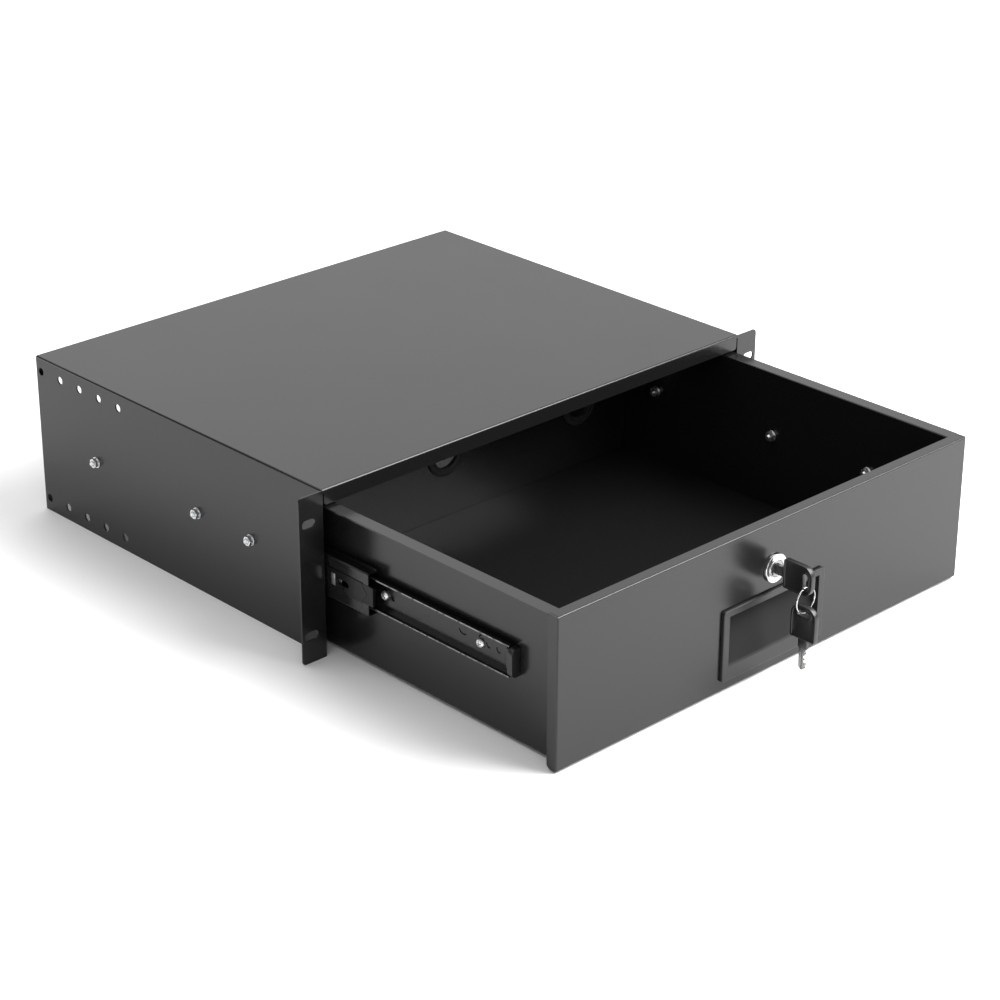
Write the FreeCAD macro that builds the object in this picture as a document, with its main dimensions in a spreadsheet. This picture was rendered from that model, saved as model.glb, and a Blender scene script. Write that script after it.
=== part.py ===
import FreeCAD, Part
import Sketcher
import math
import os

# Locking drawer for a 19 inch rack, three rack units high, drawn partly open.
# X runs to the right seen from the front, Y to the rear, Z up.
# The origin is the centre of the four ear slots, on the front face of the ears.

Vector = FreeCAD.Vector

# Driving sizes in millimetres, one cell each.
SIZES = {
    # mounting ears, after the 19 inch rack standard
    "ear_span": 482.6,
    "ear_height": 132.5,
    "ear_corner": 3.0,
    "ear_slot_from_end": 8.75,
    "ear_slot_from_edge": 21.8,
    "ear_slot_length": 12.0,
    "ear_slot_width": 7.0,
    # folded outer case, open below and behind
    "ear_reach": 21.1,
    "case_rise": 0.7,
    "case_depth": 350.0,
    "case_sheet": 1.2,
    "case_bend": 1.6,
    "header_drop": 12.4,
    "header_relief": 1.2,
    "header_corner": 2.4,
    "rear_return": 15.0,
    "support_hole": 6.4,
    "support_pitch": 25.4,
    "support_edge": 11.25,
    "support_inset": 6.2,
    # lock strike under the top of the case
    "strike_width": 60.0,
    "strike_foot": 12.0,
    "strike_gap": 0.7,
    # drawer
    "drawer_out": 234.0,
    "front_side_gap": 3.0,
    "bottom_gap": 1.7,
    "front_fold": 9.2,
    "front_tab_corner": 4.0,
    "front_stiffener": 8.0,
    "top_gap": 2.1,
    "drawer_sheet": 1.2,
    "rear_gap": 3.7,
    "rim_width": 10.2,
    "floor_lift": 0.95,
    "front_flange": 12.0,
    # telescopic slides
    "slide_space": 12.7,
    "slide_drop": 1.0,
    "outer_length": 300.0,
    "outer_setback": 46.0,
    "outer_half_height": 22.75,
    "outer_sheet": 1.2,
    "outer_lip": 2.8,
    "middle_length": 290.0,
    "middle_out": 91.0,
    "middle_setback": 2.0,
    "middle_half_height": 16.75,
    "middle_sheet": 1.0,
    "middle_lip": 1.5,
    "web_gap": 0.9,
    "inner_length": 297.0,
    "inner_setback": 49.8,
    "inner_half_height": 12.25,
    "inner_web_half": 8.6,
    "inner_sheet": 1.0,
    "inner_flare": 2.6,
    "inner_flange": 2.8,
    "ball_gap": 0.3,
    "cage_sheet": 0.4,
    "cage_gap": 0.1,
    "outer_cage_length": 130.0,
    "outer_cage_front": 67.0,
    "outer_ball_pitch": 20.0,
    "inner_cage_length": 90.0,
    "inner_cage_front": -15.0,
    "inner_ball_pitch": 15.0,
    "cap_length": 5.0,
    "cap_height": 22.0,
    "cap_depth": 8.2,
    "catch_length": 42.0,
    "catch_height": 16.0,
    "catch_sheet": 0.6,
    "catch_curve": 5.0,
    "catch_nose": 5.0,
    "catch_slot_front": 19.4,
    "catch_slot_length": 13.4,
    "catch_slot_width": 4.4,
    "catch_window_front": 34.0,
    "catch_window_length": 4.4,
    "catch_window_height": 9.6,
    # punched marks in the web of the inner members
    "lance_width": 1.1,
    "lance_radius": 3.0,
    "lance_first": 8.2,
    "lance_second": 18.3,
    "hook_radius": 5.0,
    "hook_lead": 17.6,
    "spare_hole": 4.2,
    "spare_hole_lead": 8.0,
    # fasteners of the slides
    "screw_diameter": 4.0,
    "screw_clearance": 0.2,
    "countersink_diameter": 7.8,
    "pan_head_diameter": 7.4,
    "pan_head_height": 2.4,
    "nut_flats": 7.0,
    "nut_height": 3.2,
    "washer_diameter": 9.0,
    "washer_sheet": 0.8,
    "screw_end": 1.8,
    "case_screw_first": 37.0,
    "case_screw_second": 101.0,
    "case_screw_third": 229.0,
    "drawer_screw_first": 33.0,
    "drawer_screw_second": 131.5,
    "drawer_screw_third": 259.0,
    # cable grommets in the back wall
    "grommet_radius": 19.5,
    "grommet_bore": 12.5,
    "grommet_neck": 16.0,
    "grommet_lip": 1.6,
    "grommet_spacing": 150.0,
    "grommet_below_top": 59.5,
    # recessed pull
    "pull_width": 108.0,
    "pull_height": 56.0,
    "pull_below_top": 81.05,
    "pull_proud": 2.5,
    "pull_edge": 0.9,
    "pull_side_border": 6.2,
    "pull_top_border": 5.0,
    "pull_bottom_border": 11.3,
    "pull_depth": 12.0,
    "pull_wall": 1.5,
    "pull_undercut": 2.0,
    "pull_corner": 2.5,
    "pull_fit": 0.3,
    # cam lock
    "lock_below_top": 36.4,
    "bezel_radius": 11.0,
    "bezel_proud": 3.0,
    "barrel_radius": 9.0,
    "barrel_flats": 16.0,
    "barrel_length": 20.0,
    "plug_radius": 6.4,
    "plug_fit": 0.06,
    "lock_fit": 0.6,
    "lock_nut_flats": 24.0,
    "lock_nut_height": 3.5,
    "tail_width": 7.0,
    "cam_sheet": 1.6,
    "cam_width": 14.0,
    "cam_boss": 9.0,
    "cam_reach": 43.0,
    "cam_screw_head": 4.5,
    "cam_screw_head_height": 2.2,
    "cam_screw_radius": 1.5,
    "cam_screw_depth": 4.5,
    # keys and ring
    "blade_thickness": 2.0,
    "blade_height": 8.0,
    "blade_length": 17.0,
    "keyway_fit": 0.2,
    "blade_neck": 7.4,
    "bow_length": 26.0,
    "bow_height": 22.5,
    "bow_thickness": 4.0,
    "bow_corner": 8.0,
    "bow_slot_length": 12.0,
    "bow_slot_width": 4.5,
    "bow_slot_inset": 6.0,
    "ring_radius": 9.75,
    "ring_wire": 0.75,
    "ring_fit": 0.35,
}

doc = FreeCAD.newDocument("RackDrawer")
sheet = doc.addObject("Spreadsheet::Sheet", "Sizes")
for row, (alias, number) in enumerate(SIZES.items(), start=1):
    sheet.set("A%d" % row, alias)
    sheet.set("B%d" % row, str(number))
    sheet.setAlias("B%d" % row, alias)
doc.recompute()


class Size:
    """A length that carries its value and its formula over the sheet's cells."""

    def __init__(self, formula, value):
        self.formula = formula
        self.value = float(value)

    def joined(self, sign, other, value):
        return Size("(%s %s %s)" % (self.formula, sign, as_size(other).formula), value)

    def __add__(self, other):
        return self.joined("+", other, self.value + float(other))

    def __radd__(self, other):
        return as_size(other) + self

    def __sub__(self, other):
        return self.joined("-", other, self.value - float(other))

    def __rsub__(self, other):
        return as_size(other) - self

    def __mul__(self, other):
        return self.joined("*", other, self.value * float(other))

    def __rmul__(self, other):
        return as_size(other) * self

    def __truediv__(self, other):
        return self.joined("/", other, self.value / float(other))

    def __neg__(self):
        return as_size(0) - self

    def __float__(self):
        return self.value


def as_size(number):
    """A plain number as a Size."""
    return number if isinstance(number, Size) else Size(repr(float(number)), number)


def size(alias):
    """The Size held by one cell."""
    return Size("Sizes." + alias, SIZES[alias])


# Planes and edges that several pieces share.

case_half = size("ear_span") / 2 - size("ear_reach")
case_inner = case_half - size("case_sheet")
case_bottom = size("ear_height") / -2
case_top = size("ear_height") / 2 + size("case_rise")
header_bottom = case_top - size("header_drop")

wall_half = case_inner - size("slide_space")
wall_inner = wall_half - size("drawer_sheet")
drawer_top = header_bottom - size("top_gap")
front_bottom = case_bottom + size("bottom_gap")
front_height = drawer_top - front_bottom
floor_bottom = front_bottom + size("floor_lift")
floor_top = floor_bottom + size("drawer_sheet")
front_face = -size("drawer_out")
front_inside = front_face + size("drawer_sheet")
fold_rear = front_face + size("front_fold")
drawer_rear = front_face + size("case_depth") - size("rear_gap")

slide_centre = -size("slide_drop")
outer_front = size("outer_setback")
middle_front = size("outer_setback") - size("middle_out")
inner_front = size("inner_setback") - size("drawer_out")
outer_screws = [outer_front + size("case_screw_" + place) for place in ("first", "second", "third")]
inner_screws = [inner_front + size("drawer_screw_" + place) for place in ("first", "second", "third")]

lock_height = drawer_top - size("lock_below_top")
pull_height = drawer_top - size("pull_below_top")
cam_plane = front_face + size("barrel_length") + size("lock_fit") / 2
grommet_height = drawer_top - size("grommet_below_top")

SIDES = (("left", -1), ("right", 1))


# Helpers for bodies, sketches and features.

def bind(item, **settings):
    """Set properties to sizes, each bound to its formula."""
    for name, amount in settings.items():
        path = name.replace("__", ".")
        if "." not in path:
            setattr(item, path, float(amount))
        item.setExpression(path, as_size(amount).formula)


def new_body(label):
    """A body whose label is its file's name."""
    body = doc.addObject("PartDesign::Body", label)
    body.Label = label
    return body


def new_sketch(body, plane, offset=0):
    """A sketch on one of the body's own planes, moved along the plane's normal."""
    sketch = body.newObject("Sketcher::SketchObject", body.Name + "_sketch")
    base = [feature for feature in body.Origin.OriginFeatures if feature.Role == plane][0]
    sketch.AttachmentSupport = (base, [""])
    sketch.MapMode = "FlatFace"
    sketch.AttachmentOffset = FreeCAD.Placement(Vector(0, 0, float(offset)), FreeCAD.Rotation())
    if isinstance(offset, Size):
        sketch.setExpression("AttachmentOffset.Base.z", offset.formula)
    return sketch


def pin_point(sketch, edge, end, point):
    """Tie a sketch point to its two coordinates."""
    for axis, kind in enumerate(("DistanceX", "DistanceY")):
        place = as_size(point[axis])
        if abs(place.value) < 1e-9:
            sketch.addConstraint(Sketcher.Constraint("PointOnObject", edge, end, -2 if axis == 0 else -1))
            continue
        number = sketch.addConstraint(Sketcher.Constraint(kind, -1, 1, edge, end, place.value))
        sketch.setExpression("Constraints[%d]" % number, place.formula)


def draw_outline(sketch, points):
    """A closed outline of straight lines through the points."""
    count = len(points)
    flat = [Vector(float(point[0]), float(point[1]), 0) for point in points]
    first = sketch.GeometryCount
    for step in range(count):
        sketch.addGeometry(Part.LineSegment(flat[step], flat[(step + 1) % count]), False)
    for step in range(count):
        following = first + (step + 1) % count
        sketch.addConstraint(Sketcher.Constraint("Coincident", first + step, 2, following, 1))
        pin_point(sketch, first + step, 1, points[step])


def draw_rectangle(sketch, low, high):
    """A rectangle between two opposite corners."""
    draw_outline(sketch, [low, (high[0], low[1]), high, (low[0], high[1])])


def draw_circle(sketch, centre, radius):
    """A circle with a bound centre and radius."""
    place = Vector(float(centre[0]), float(centre[1]), 0)
    edge = sketch.addGeometry(Part.Circle(place, Vector(0, 0, 1), float(radius)), False)
    pin_point(sketch, edge, 3, centre)
    number = sketch.addConstraint(Sketcher.Constraint("Radius", edge, float(radius)))
    sketch.setExpression("Constraints[%d]" % number, as_size(radius).formula)


def draw_curved_slot(sketch, centre, radius, start, end):
    """A narrow slot that follows an arc between two angles, in short straight lines."""
    steps = 6
    turns = [math.radians(start + (end - start) * step / steps) for step in range(steps + 1)]
    sides = []
    for reach in (radius, radius - size("lance_width")):
        sides.append([(centre[0] + reach * math.cos(turn), centre[1] + reach * math.sin(turn)) for turn in turns])
    draw_outline(sketch, sides[0] + sides[1][::-1])


def cut_round_slot(body, plane, offset, low, high, radius, depth, backwards):
    """Cut a slot with round ends, its end circles centred on two points of equal height."""
    sketch = new_sketch(body, plane, offset)
    draw_rectangle(sketch, (low[0], low[1] - radius), (high[0], high[1] + radius))
    pocket(body, sketch, depth, backwards)
    for centre in (low, high):
        sketch = new_sketch(body, plane, offset)
        draw_circle(sketch, centre, radius)
        pocket(body, sketch, depth, backwards)


def pad(body, sketch, length, backwards=False):
    """Add the sketch's area as a plate or bar."""
    feature = body.newObject("PartDesign::Pad", body.Name + "_pad")
    feature.Profile = sketch
    bind(feature, Length=length)
    feature.Reversed = backwards
    sketch.Visibility = False
    doc.recompute()
    return feature


def pocket(body, sketch, depth=None, backwards=False):
    """Cut the sketch's area to a depth, or right through both ways."""
    before = body.Shape.Volume
    feature = body.newObject("PartDesign::Pocket", body.Name + "_pocket")
    feature.Profile = sketch
    if depth is None:
        feature.Type = "ThroughAll"
        feature.Midplane = True
    else:
        bind(feature, Length=depth)
        feature.Reversed = not backwards
    doc.recompute()
    if body.Shape.Volume > before - 1e-6:
        raise RuntimeError("a pocket in %s cuts nothing" % body.Label)
    return feature


def edges_along(body, axis, places):
    """Names of the edges along one axis whose middles lie at the places.

    A place has the two other coordinates, or all three to pick one edge of several.
    """
    others = [index for index in range(3) if index != axis]
    names = []
    for number, edge in enumerate(body.Shape.Edges, start=1):
        if len(edge.Vertexes) != 2:
            continue
        run = edge.Vertexes[1].Point - edge.Vertexes[0].Point
        if run.Length < 1e-6 or abs(abs(run[axis]) / run.Length - 1) > 1e-6:
            continue
        middle = (edge.Vertexes[0].Point + edge.Vertexes[1].Point) / 2
        for place in places:
            asked = others if len(place) == 2 else range(3)
            near = [abs(middle[index] - float(value)) < 0.01 for index, value in zip(asked, place)]
            if all(near):
                names.append("Edge%d" % number)
                break
    return names


def round_edges(body, axis, places, radius, also=()):
    """Round the edges that run along an axis through the places, and those also named."""
    names = edges_along(body, axis, places)
    for other_axis, other_places in also:
        names += edges_along(body, other_axis, other_places)
    if not names:
        raise RuntimeError("no edge to round on %s" % body.Label)
    base = body.Tip
    feature = body.newObject("PartDesign::Fillet", body.Name + "_fillet")
    feature.Base = (base, names)
    bind(feature, Radius=radius)
    doc.recompute()
    if "Invalid" in feature.State:
        raise RuntimeError("a rounding on %s failed" % body.Label)
    return feature


def place_at(item, x, y, z, rotation=None):
    """Set a placement whose base is bound to sizes."""
    item.Placement = FreeCAD.Placement(
        Vector(float(x), float(y), float(z)), rotation or FreeCAD.Rotation())
    for axis, amount in (("x", x), ("y", y), ("z", z)):
        if isinstance(amount, Size):
            item.setExpression("Placement.Base." + axis, amount.formula)


def spin_to(direction):
    """The rotation that turns +Z to a direction."""
    return FreeCAD.Rotation(Vector(0, 0, 1), Vector(*direction))


def rod(radius, length, x, y, z, direction, hexagon=False):
    """A cylinder or hexagonal bar from a point along a direction."""
    kind = "Part::Prism" if hexagon else "Part::Cylinder"
    item = doc.addObject(kind, "Rod")
    if hexagon:
        item.Polygon = 6
        bind(item, Circumradius=radius, Height=length)
    else:
        bind(item, Radius=radius, Height=length)
    place_at(item, x, y, z, spin_to(direction))
    return item


def cone(radius_low, radius_high, length, x, y, z, direction):
    """A truncated cone from a point along a direction."""
    item = doc.addObject("Part::Cone", "Cone")
    bind(item, Radius1=radius_low, Radius2=radius_high, Height=length)
    place_at(item, x, y, z, spin_to(direction))
    return item


def fused(items):
    """Several solids joined into one."""
    item = doc.addObject("Part::MultiFuse", "Fused")
    item.Shapes = items
    return item


def less(base, tool):
    """One solid with another cut from it."""
    item = doc.addObject("Part::Cut", "Cut")
    item.Base = base
    item.Tool = tool
    return item


def group(label, items):
    """Separate solids of the same kind kept in one file."""
    item = doc.addObject("Part::Compound", label)
    item.Label = label
    item.Links = items
    return item


# Outer case: top, two sides, front header, ears and rear returns, folded from one sheet.

def make_case_shell():
    body = new_body("case_shell")
    inner_top = case_top - size("case_sheet")
    skin = size("case_sheet")
    sketch = new_sketch(body, "XZ_Plane")
    draw_outline(sketch, [
        (-case_half, case_bottom), (-case_half, case_top), (case_half, case_top), (case_half, case_bottom),
        (case_inner, case_bottom), (case_inner, inner_top), (-case_inner, inner_top), (-case_inner, case_bottom)])
    pad(body, sketch, size("case_depth"), backwards=True)
    sketch = new_sketch(body, "XZ_Plane")
    draw_rectangle(sketch, (-case_half, header_bottom), (case_half, case_top))
    pad(body, sketch, skin, backwards=True)
    round_edges(body, 1, [(-case_half, case_top), (case_half, case_top)], size("case_bend"))
    round_edges(body, 0, [(0, case_top)], size("case_bend"))
    ear_half = size("ear_span") / 2
    ear_top = size("ear_height") / 2
    for side in (-1, 1):
        sketch = new_sketch(body, "XZ_Plane")
        draw_rectangle(sketch, (side * case_inner, -ear_top), (side * ear_half, ear_top))
        pad(body, sketch, skin, backwards=True)
    corners = [(side * ear_half, end * ear_top) for side in (-1, 1) for end in (-1, 1)]
    round_edges(body, 1, corners, size("ear_corner"))
    header_end = case_inner - size("header_relief")
    for side in (-1, 1):
        sketch = new_sketch(body, "XZ_Plane")
        draw_rectangle(
            sketch, (side * header_end, header_bottom), (side * case_inner, case_top - size("case_bend") - skin))
        pocket(body, sketch, skin, backwards=True)
    round_edges(body, 1, [(-header_end, header_bottom), (header_end, header_bottom)], size("header_corner"))
    rear = new_sketch(body, "XZ_Plane", -size("case_depth"))
    lip = case_inner - size("rear_return")
    draw_outline(rear, [
        (-case_inner, case_bottom), (-case_inner, inner_top), (case_inner, inner_top), (case_inner, case_bottom),
        (lip, case_bottom), (lip, inner_top - size("rear_return")),
        (-lip, inner_top - size("rear_return")), (-lip, case_bottom)])
    pad(body, rear, skin)
    slot_end = (size("ear_slot_length") - size("ear_slot_width")) / 2
    slot_radius = size("ear_slot_width") / 2
    for side in (-1, 1):
        for end in (-1, 1):
            middle = side * (ear_half - size("ear_slot_from_end"))
            up = end * (ear_top - size("ear_slot_from_edge"))
            cut_round_slot(
                body, "XZ_Plane", 0, (middle - slot_end, up), (middle + slot_end, up), slot_radius, skin * 2, True)
    sketch = new_sketch(body, "YZ_Plane")
    last_column = size("case_depth") - size("support_inset")
    for column in range(5):
        for row in (-1, 1):
            centre = (last_column - column * size("support_pitch"), row * (ear_top - size("support_edge")))
            draw_circle(sketch, centre, size("support_hole") / 2)
    for place in outer_screws:
        draw_circle(sketch, (place, slide_centre), size("screw_diameter") / 2 + size("screw_clearance"))
    pocket(body, sketch)


def make_lock_strike():
    body = new_body("lock_strike")
    leg_rear = cam_plane + size("drawer_out") - size("strike_gap")
    leg_front = leg_rear - size("case_sheet")
    roof = case_top - size("case_sheet")
    sketch = new_sketch(body, "YZ_Plane", size("strike_width") / -2)
    draw_outline(sketch, [
        (leg_rear, roof), (leg_rear, header_bottom), (leg_front, header_bottom),
        (leg_front, roof - size("case_sheet")), (leg_front - size("strike_foot"), roof - size("case_sheet")),
        (leg_front - size("strike_foot"), roof)])
    pad(body, sketch, size("strike_width"))


# Telescopic slides. The first coordinate of a section runs from the drawer wall to the case.

def across(side, depth):
    """The X place at a depth in the slide space of one side."""
    return side * (wall_half + depth)


def mirror_section(half):
    """A section's upper half and its mirror image below."""
    return half + [(depth, -rise) for depth, rise in reversed(half)]


def draw_section(sketch, side, section):
    """Draw a slide section, given from its centre line, on a side."""
    draw_outline(sketch, [(across(side, depth), slide_centre + rise) for depth, rise in section])


web_outer = size("slide_space") - size("outer_sheet")
middle_web_outer = web_outer - size("web_gap")
middle_web_inner = middle_web_outer - size("middle_sheet")
outer_flange_inner = size("outer_half_height") - size("outer_sheet")
middle_flange_inner = size("middle_half_height") - size("middle_sheet")
outer_ball_rise = (outer_flange_inner + size("middle_half_height")) / 2
outer_ball_radius = (outer_flange_inner - size("middle_half_height")) / 2 - size("ball_gap")
inner_ball_rise = (middle_flange_inner + size("inner_half_height")) / 2
inner_ball_radius = (middle_flange_inner - size("inner_half_height")) / 2 - size("ball_gap")
OUTER_LIP_DEPTH = 2.4
MIDDLE_LIP_DEPTH = 2.2
outer_ball_depth = size("slide_space") / 2
inner_flange_end = size("inner_sheet") + size("inner_flare") + size("inner_flange")
inner_ball_depth = inner_flange_end - size("inner_flange") / 2


def make_outer_rail(name, side):
    body = new_body(name + "_outer_rail")
    top = size("outer_half_height")
    skin = size("outer_sheet")
    lip = top - size("outer_lip")
    sketch = new_sketch(body, "XZ_Plane", -outer_front)
    draw_section(sketch, side, mirror_section([
        (size("slide_space"), top), (OUTER_LIP_DEPTH, top), (OUTER_LIP_DEPTH, lip),
        (OUTER_LIP_DEPTH + skin, lip), (OUTER_LIP_DEPTH + skin, top - skin), (web_outer, top - skin)])[::-1])
    pad(body, sketch, size("outer_length"), backwards=True)
    bends = [(across(side, size("slide_space")), slide_centre + end * top) for end in (-1, 1)]
    bends += [(across(side, OUTER_LIP_DEPTH), slide_centre + end * top) for end in (-1, 1)]
    round_edges(body, 1, bends, skin)
    sketch = new_sketch(body, "YZ_Plane", across(side, web_outer))
    for place in outer_screws:
        draw_circle(sketch, (place, slide_centre), size("screw_diameter") / 2 + size("screw_clearance"))
    pocket(body, sketch, skin * 2, backwards=side < 0)
    for place in outer_screws:
        sketch = new_sketch(body, "XZ_Plane", -place)
        bore = size("screw_diameter") / 2
        rim = size("countersink_diameter") / 2 + size("screw_clearance")
        draw_outline(sketch, [
            (across(side, size("slide_space")), slide_centre),
            (across(side, size("slide_space")), slide_centre + bore),
            (across(side, web_outer), slide_centre + rim), (across(side, web_outer), slide_centre)])
        groove = body.newObject("PartDesign::Groove", body.Name + "_seat")
        groove.Profile = sketch
        groove.ReferenceAxis = (sketch, ["Edge4"])
        groove.Angle = 360
        doc.recompute()


def make_middle_rail(name, side):
    body = new_body(name + "_middle_rail")
    top = size("middle_half_height")
    skin = size("middle_sheet")
    lip = top + size("middle_lip")
    sketch = new_sketch(body, "XZ_Plane", -middle_front)
    draw_section(sketch, side, mirror_section([
        (middle_web_outer, top), (MIDDLE_LIP_DEPTH + skin, top), (MIDDLE_LIP_DEPTH + skin, lip),
        (MIDDLE_LIP_DEPTH, lip), (MIDDLE_LIP_DEPTH, top - skin), (middle_web_inner, top - skin)])[::-1])
    pad(body, sketch, size("middle_length"), backwards=True)
    bends = [(across(side, middle_web_outer), slide_centre + end * top) for end in (-1, 1)]
    round_edges(body, 1, bends, skin)
    cut_catch_slot(body, side, middle_web_inner, skin)


catch_tip = middle_front + 1.3


def cut_catch_slot(body, side, depth, skin):
    """The long hole through the latch plate and the web under it."""
    radius = size("catch_slot_width") / 2
    front = catch_tip + size("catch_slot_front")
    cut_round_slot(
        body, "YZ_Plane", across(side, depth), (front + radius, slide_centre),
        (front + size("catch_slot_length") - radius, slide_centre), radius, skin, side < 0)


def make_slide_catch(name, side):
    body = new_body(name + "_slide_catch")
    skin = size("catch_sheet")
    half = size("catch_height") / 2
    steps = 12
    edge = []
    for step in range(steps + 1):
        share = 1 - 2 * step / steps
        bulge = (1 - math.cos(math.pi * share)) / 2
        edge.append((catch_tip + size("catch_curve") * bulge, slide_centre + half * share))
    rear = catch_tip + size("catch_length")
    sketch = new_sketch(body, "YZ_Plane", across(side, middle_web_outer))
    draw_outline(sketch, edge + [(rear, slide_centre - half), (rear, slide_centre + half)])
    pad(body, sketch, skin, backwards=side < 0)
    nose_rear = middle_front - 0.3
    nose_front = nose_rear - size("catch_nose")
    tongue = half - 0.5
    sketch = new_sketch(body, "YZ_Plane", across(side, middle_web_outer))
    draw_rectangle(
        sketch, (nose_front, slide_centre - tongue),
        (catch_tip + size("catch_curve") * 2, slide_centre + tongue))
    pad(body, sketch, skin / 2, backwards=side < 0)
    sketch = new_sketch(body, "YZ_Plane", across(side, middle_web_inner - 1))
    draw_rectangle(sketch, (nose_front, slide_centre - tongue), (nose_rear, slide_centre + tongue))
    pad(body, sketch, size("middle_sheet") + 1 + skin / 2, backwards=side < 0)
    cut_catch_slot(body, side, middle_web_outer, skin)
    window = catch_tip + size("catch_window_front")
    rise = size("catch_window_height") / 2
    sketch = new_sketch(body, "YZ_Plane", across(side, middle_web_outer))
    draw_rectangle(
        sketch, (window, slide_centre - rise), (window + size("catch_window_length"), slide_centre + rise))
    pocket(body, sketch, skin, backwards=side < 0)


def make_inner_rail(name, side):
    body = new_body(name + "_inner_rail")
    skin = size("inner_sheet")
    top = size("inner_half_height")
    web = size("inner_web_half")
    bend = skin + size("inner_flare")
    sketch = new_sketch(body, "XZ_Plane", -inner_front)
    draw_section(sketch, side, mirror_section([
        (0, web), (bend - skin * 0.6, top), (inner_flange_end, top), (inner_flange_end, top - skin),
        (bend, top - skin), (skin, web - skin * 0.4)])[::-1])
    pad(body, sketch, size("inner_length"), backwards=True)
    sketch = new_sketch(body, "YZ_Plane", across(side, 0))
    for place in inner_screws:
        draw_circle(sketch, (place, slide_centre), size("screw_diameter") / 2 + size("screw_clearance"))
    draw_circle(sketch, (inner_screws[1] - size("spare_hole_lead"), slide_centre), size("spare_hole") / 2)
    first = inner_screws[0]
    arc = size("lance_radius")
    for lead in (size("lance_first"), size("lance_second")):
        draw_curved_slot(sketch, (first - lead, slide_centre + arc * 0.6), arc, -110, 20)
    hook = size("hook_radius")
    draw_curved_slot(sketch, (first + size("hook_lead"), slide_centre + hook * 0.9), hook, -130, -20)
    draw_curved_slot(sketch, (first - 0.8, slide_centre + arc * 1.2), arc, 10, 90)
    pocket(body, sketch, skin * 3, backwards=side < 0)


def make_rail_cap(name, side):
    body = new_body(name + "_rail_cap")
    half = size("cap_height") / 2
    depth = size("cap_depth")
    sketch = new_sketch(body, "XZ_Plane", -(inner_front - size("cap_length")))
    draw_rectangle(
        sketch, (across(side, 0.2), slide_centre - half), (across(side, depth), slide_centre + half))
    pad(body, sketch, size("cap_length"), backwards=True)
    corners = [(across(side, depth), slide_centre + end * half) for end in (-1, 1)]
    round_edges(body, 1, corners, size("cap_height") / 5)
    sketch = new_sketch(body, "XZ_Plane", -inner_front)
    tongue = size("inner_web_half") - size("inner_sheet")
    draw_rectangle(
        sketch, (across(side, size("inner_sheet")), slide_centre - tongue),
        (across(side, size("inner_sheet") + 2.5), slide_centre + tongue))
    pad(body, sketch, 6, backwards=True)


def make_cage(label, side, web, strip_end, rise, front, length, radius, depth, pitch):
    """A folded ball cage: a web and two strips with a window for each ball."""
    body = new_body(label)
    skin = size("cage_sheet")
    sketch = new_sketch(body, "XZ_Plane", -front)
    draw_section(sketch, side, mirror_section([
        (web + skin, rise + skin / 2), (strip_end, rise + skin / 2),
        (strip_end, rise - skin / 2), (web, rise - skin / 2)])[::-1])
    pad(body, sketch, length, backwards=True)
    count = int(float(length) // float(pitch))
    sketch = new_sketch(body, "XY_Plane")
    places = [front + (length - (count - 1) * pitch) / 2 + step * pitch for step in range(count)]
    half = radius + size("cage_gap")
    centre = across(side, depth)
    for place in places:
        draw_rectangle(sketch, (centre - half, place - half), (centre + half, place + half))
    pocket(body, sketch)
    return places


def make_balls(label, side, places, rise, radius, depth):
    """Two rows of balls in one cage."""
    balls = []
    for place in places:
        for end in (-1, 1):
            ball = doc.addObject("Part::Sphere", "Ball")
            bind(ball, Radius=radius)
            place_at(ball, across(side, depth), place, slide_centre + end * rise)
            balls.append(ball)
    group(label, balls)


def make_cages(name, side):
    places = make_cage(
        name + "_outer_cage", side, middle_web_outer + 0.25, outer_ball_depth - outer_ball_radius - 0.8,
        outer_ball_rise, size("outer_cage_front"), size("outer_cage_length"), outer_ball_radius,
        outer_ball_depth, size("outer_ball_pitch"))
    make_balls(name + "_outer_balls", side, places, outer_ball_rise, outer_ball_radius, outer_ball_depth)
    places = make_cage(
        name + "_inner_cage", side, middle_web_inner - 0.3 - size("cage_sheet"),
        inner_ball_depth - inner_ball_radius - 0.6, inner_ball_rise, size("inner_cage_front"),
        size("inner_cage_length"), inner_ball_radius, inner_ball_depth, size("inner_ball_pitch"))
    make_balls(name + "_inner_balls", side, places, inner_ball_rise, inner_ball_radius, inner_ball_depth)


# Screws, washers and nuts of the slides.

def make_nuts(label, side, places, seat, outward):
    """A washer and a hexagon nut at each screw, from the seat plane outward."""
    items = []
    way = (side * outward, 0, 0)
    bore = size("screw_diameter") / 2 + size("screw_clearance") / 2
    corner = size("nut_flats") / 2 / math.cos(math.radians(30))
    stack = size("washer_sheet") + size("nut_height")
    for place in places:
        washer = rod(size("washer_diameter") / 2, size("washer_sheet"), seat, place, slide_centre, way)
        nut_seat = seat + side * outward * size("washer_sheet")
        nut = rod(corner, size("nut_height"), nut_seat, place, slide_centre, way, hexagon=True)
        hole = rod(bore, stack, seat, place, slide_centre, way)
        items.append(less(washer, hole))
        items.append(less(nut, hole))
    group(label, items)


def make_case_fasteners(name, side):
    inner = across(side, web_outer)
    way = (side, 0, 0)
    stack = size("outer_sheet") + size("case_sheet") + size("washer_sheet") + size("nut_height")
    screws = []
    for place in outer_screws:
        head = cone(
            size("countersink_diameter") / 2, size("screw_diameter") / 2, size("outer_sheet"),
            inner, place, slide_centre, way)
        shank = rod(size("screw_diameter") / 2, stack + size("screw_end"), inner, place, slide_centre, way)
        screws.append(fused([head, shank]))
    group(name + "_case_screws", screws)
    make_nuts(name + "_case_nuts", side, outer_screws, side * case_half, 1)


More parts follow.
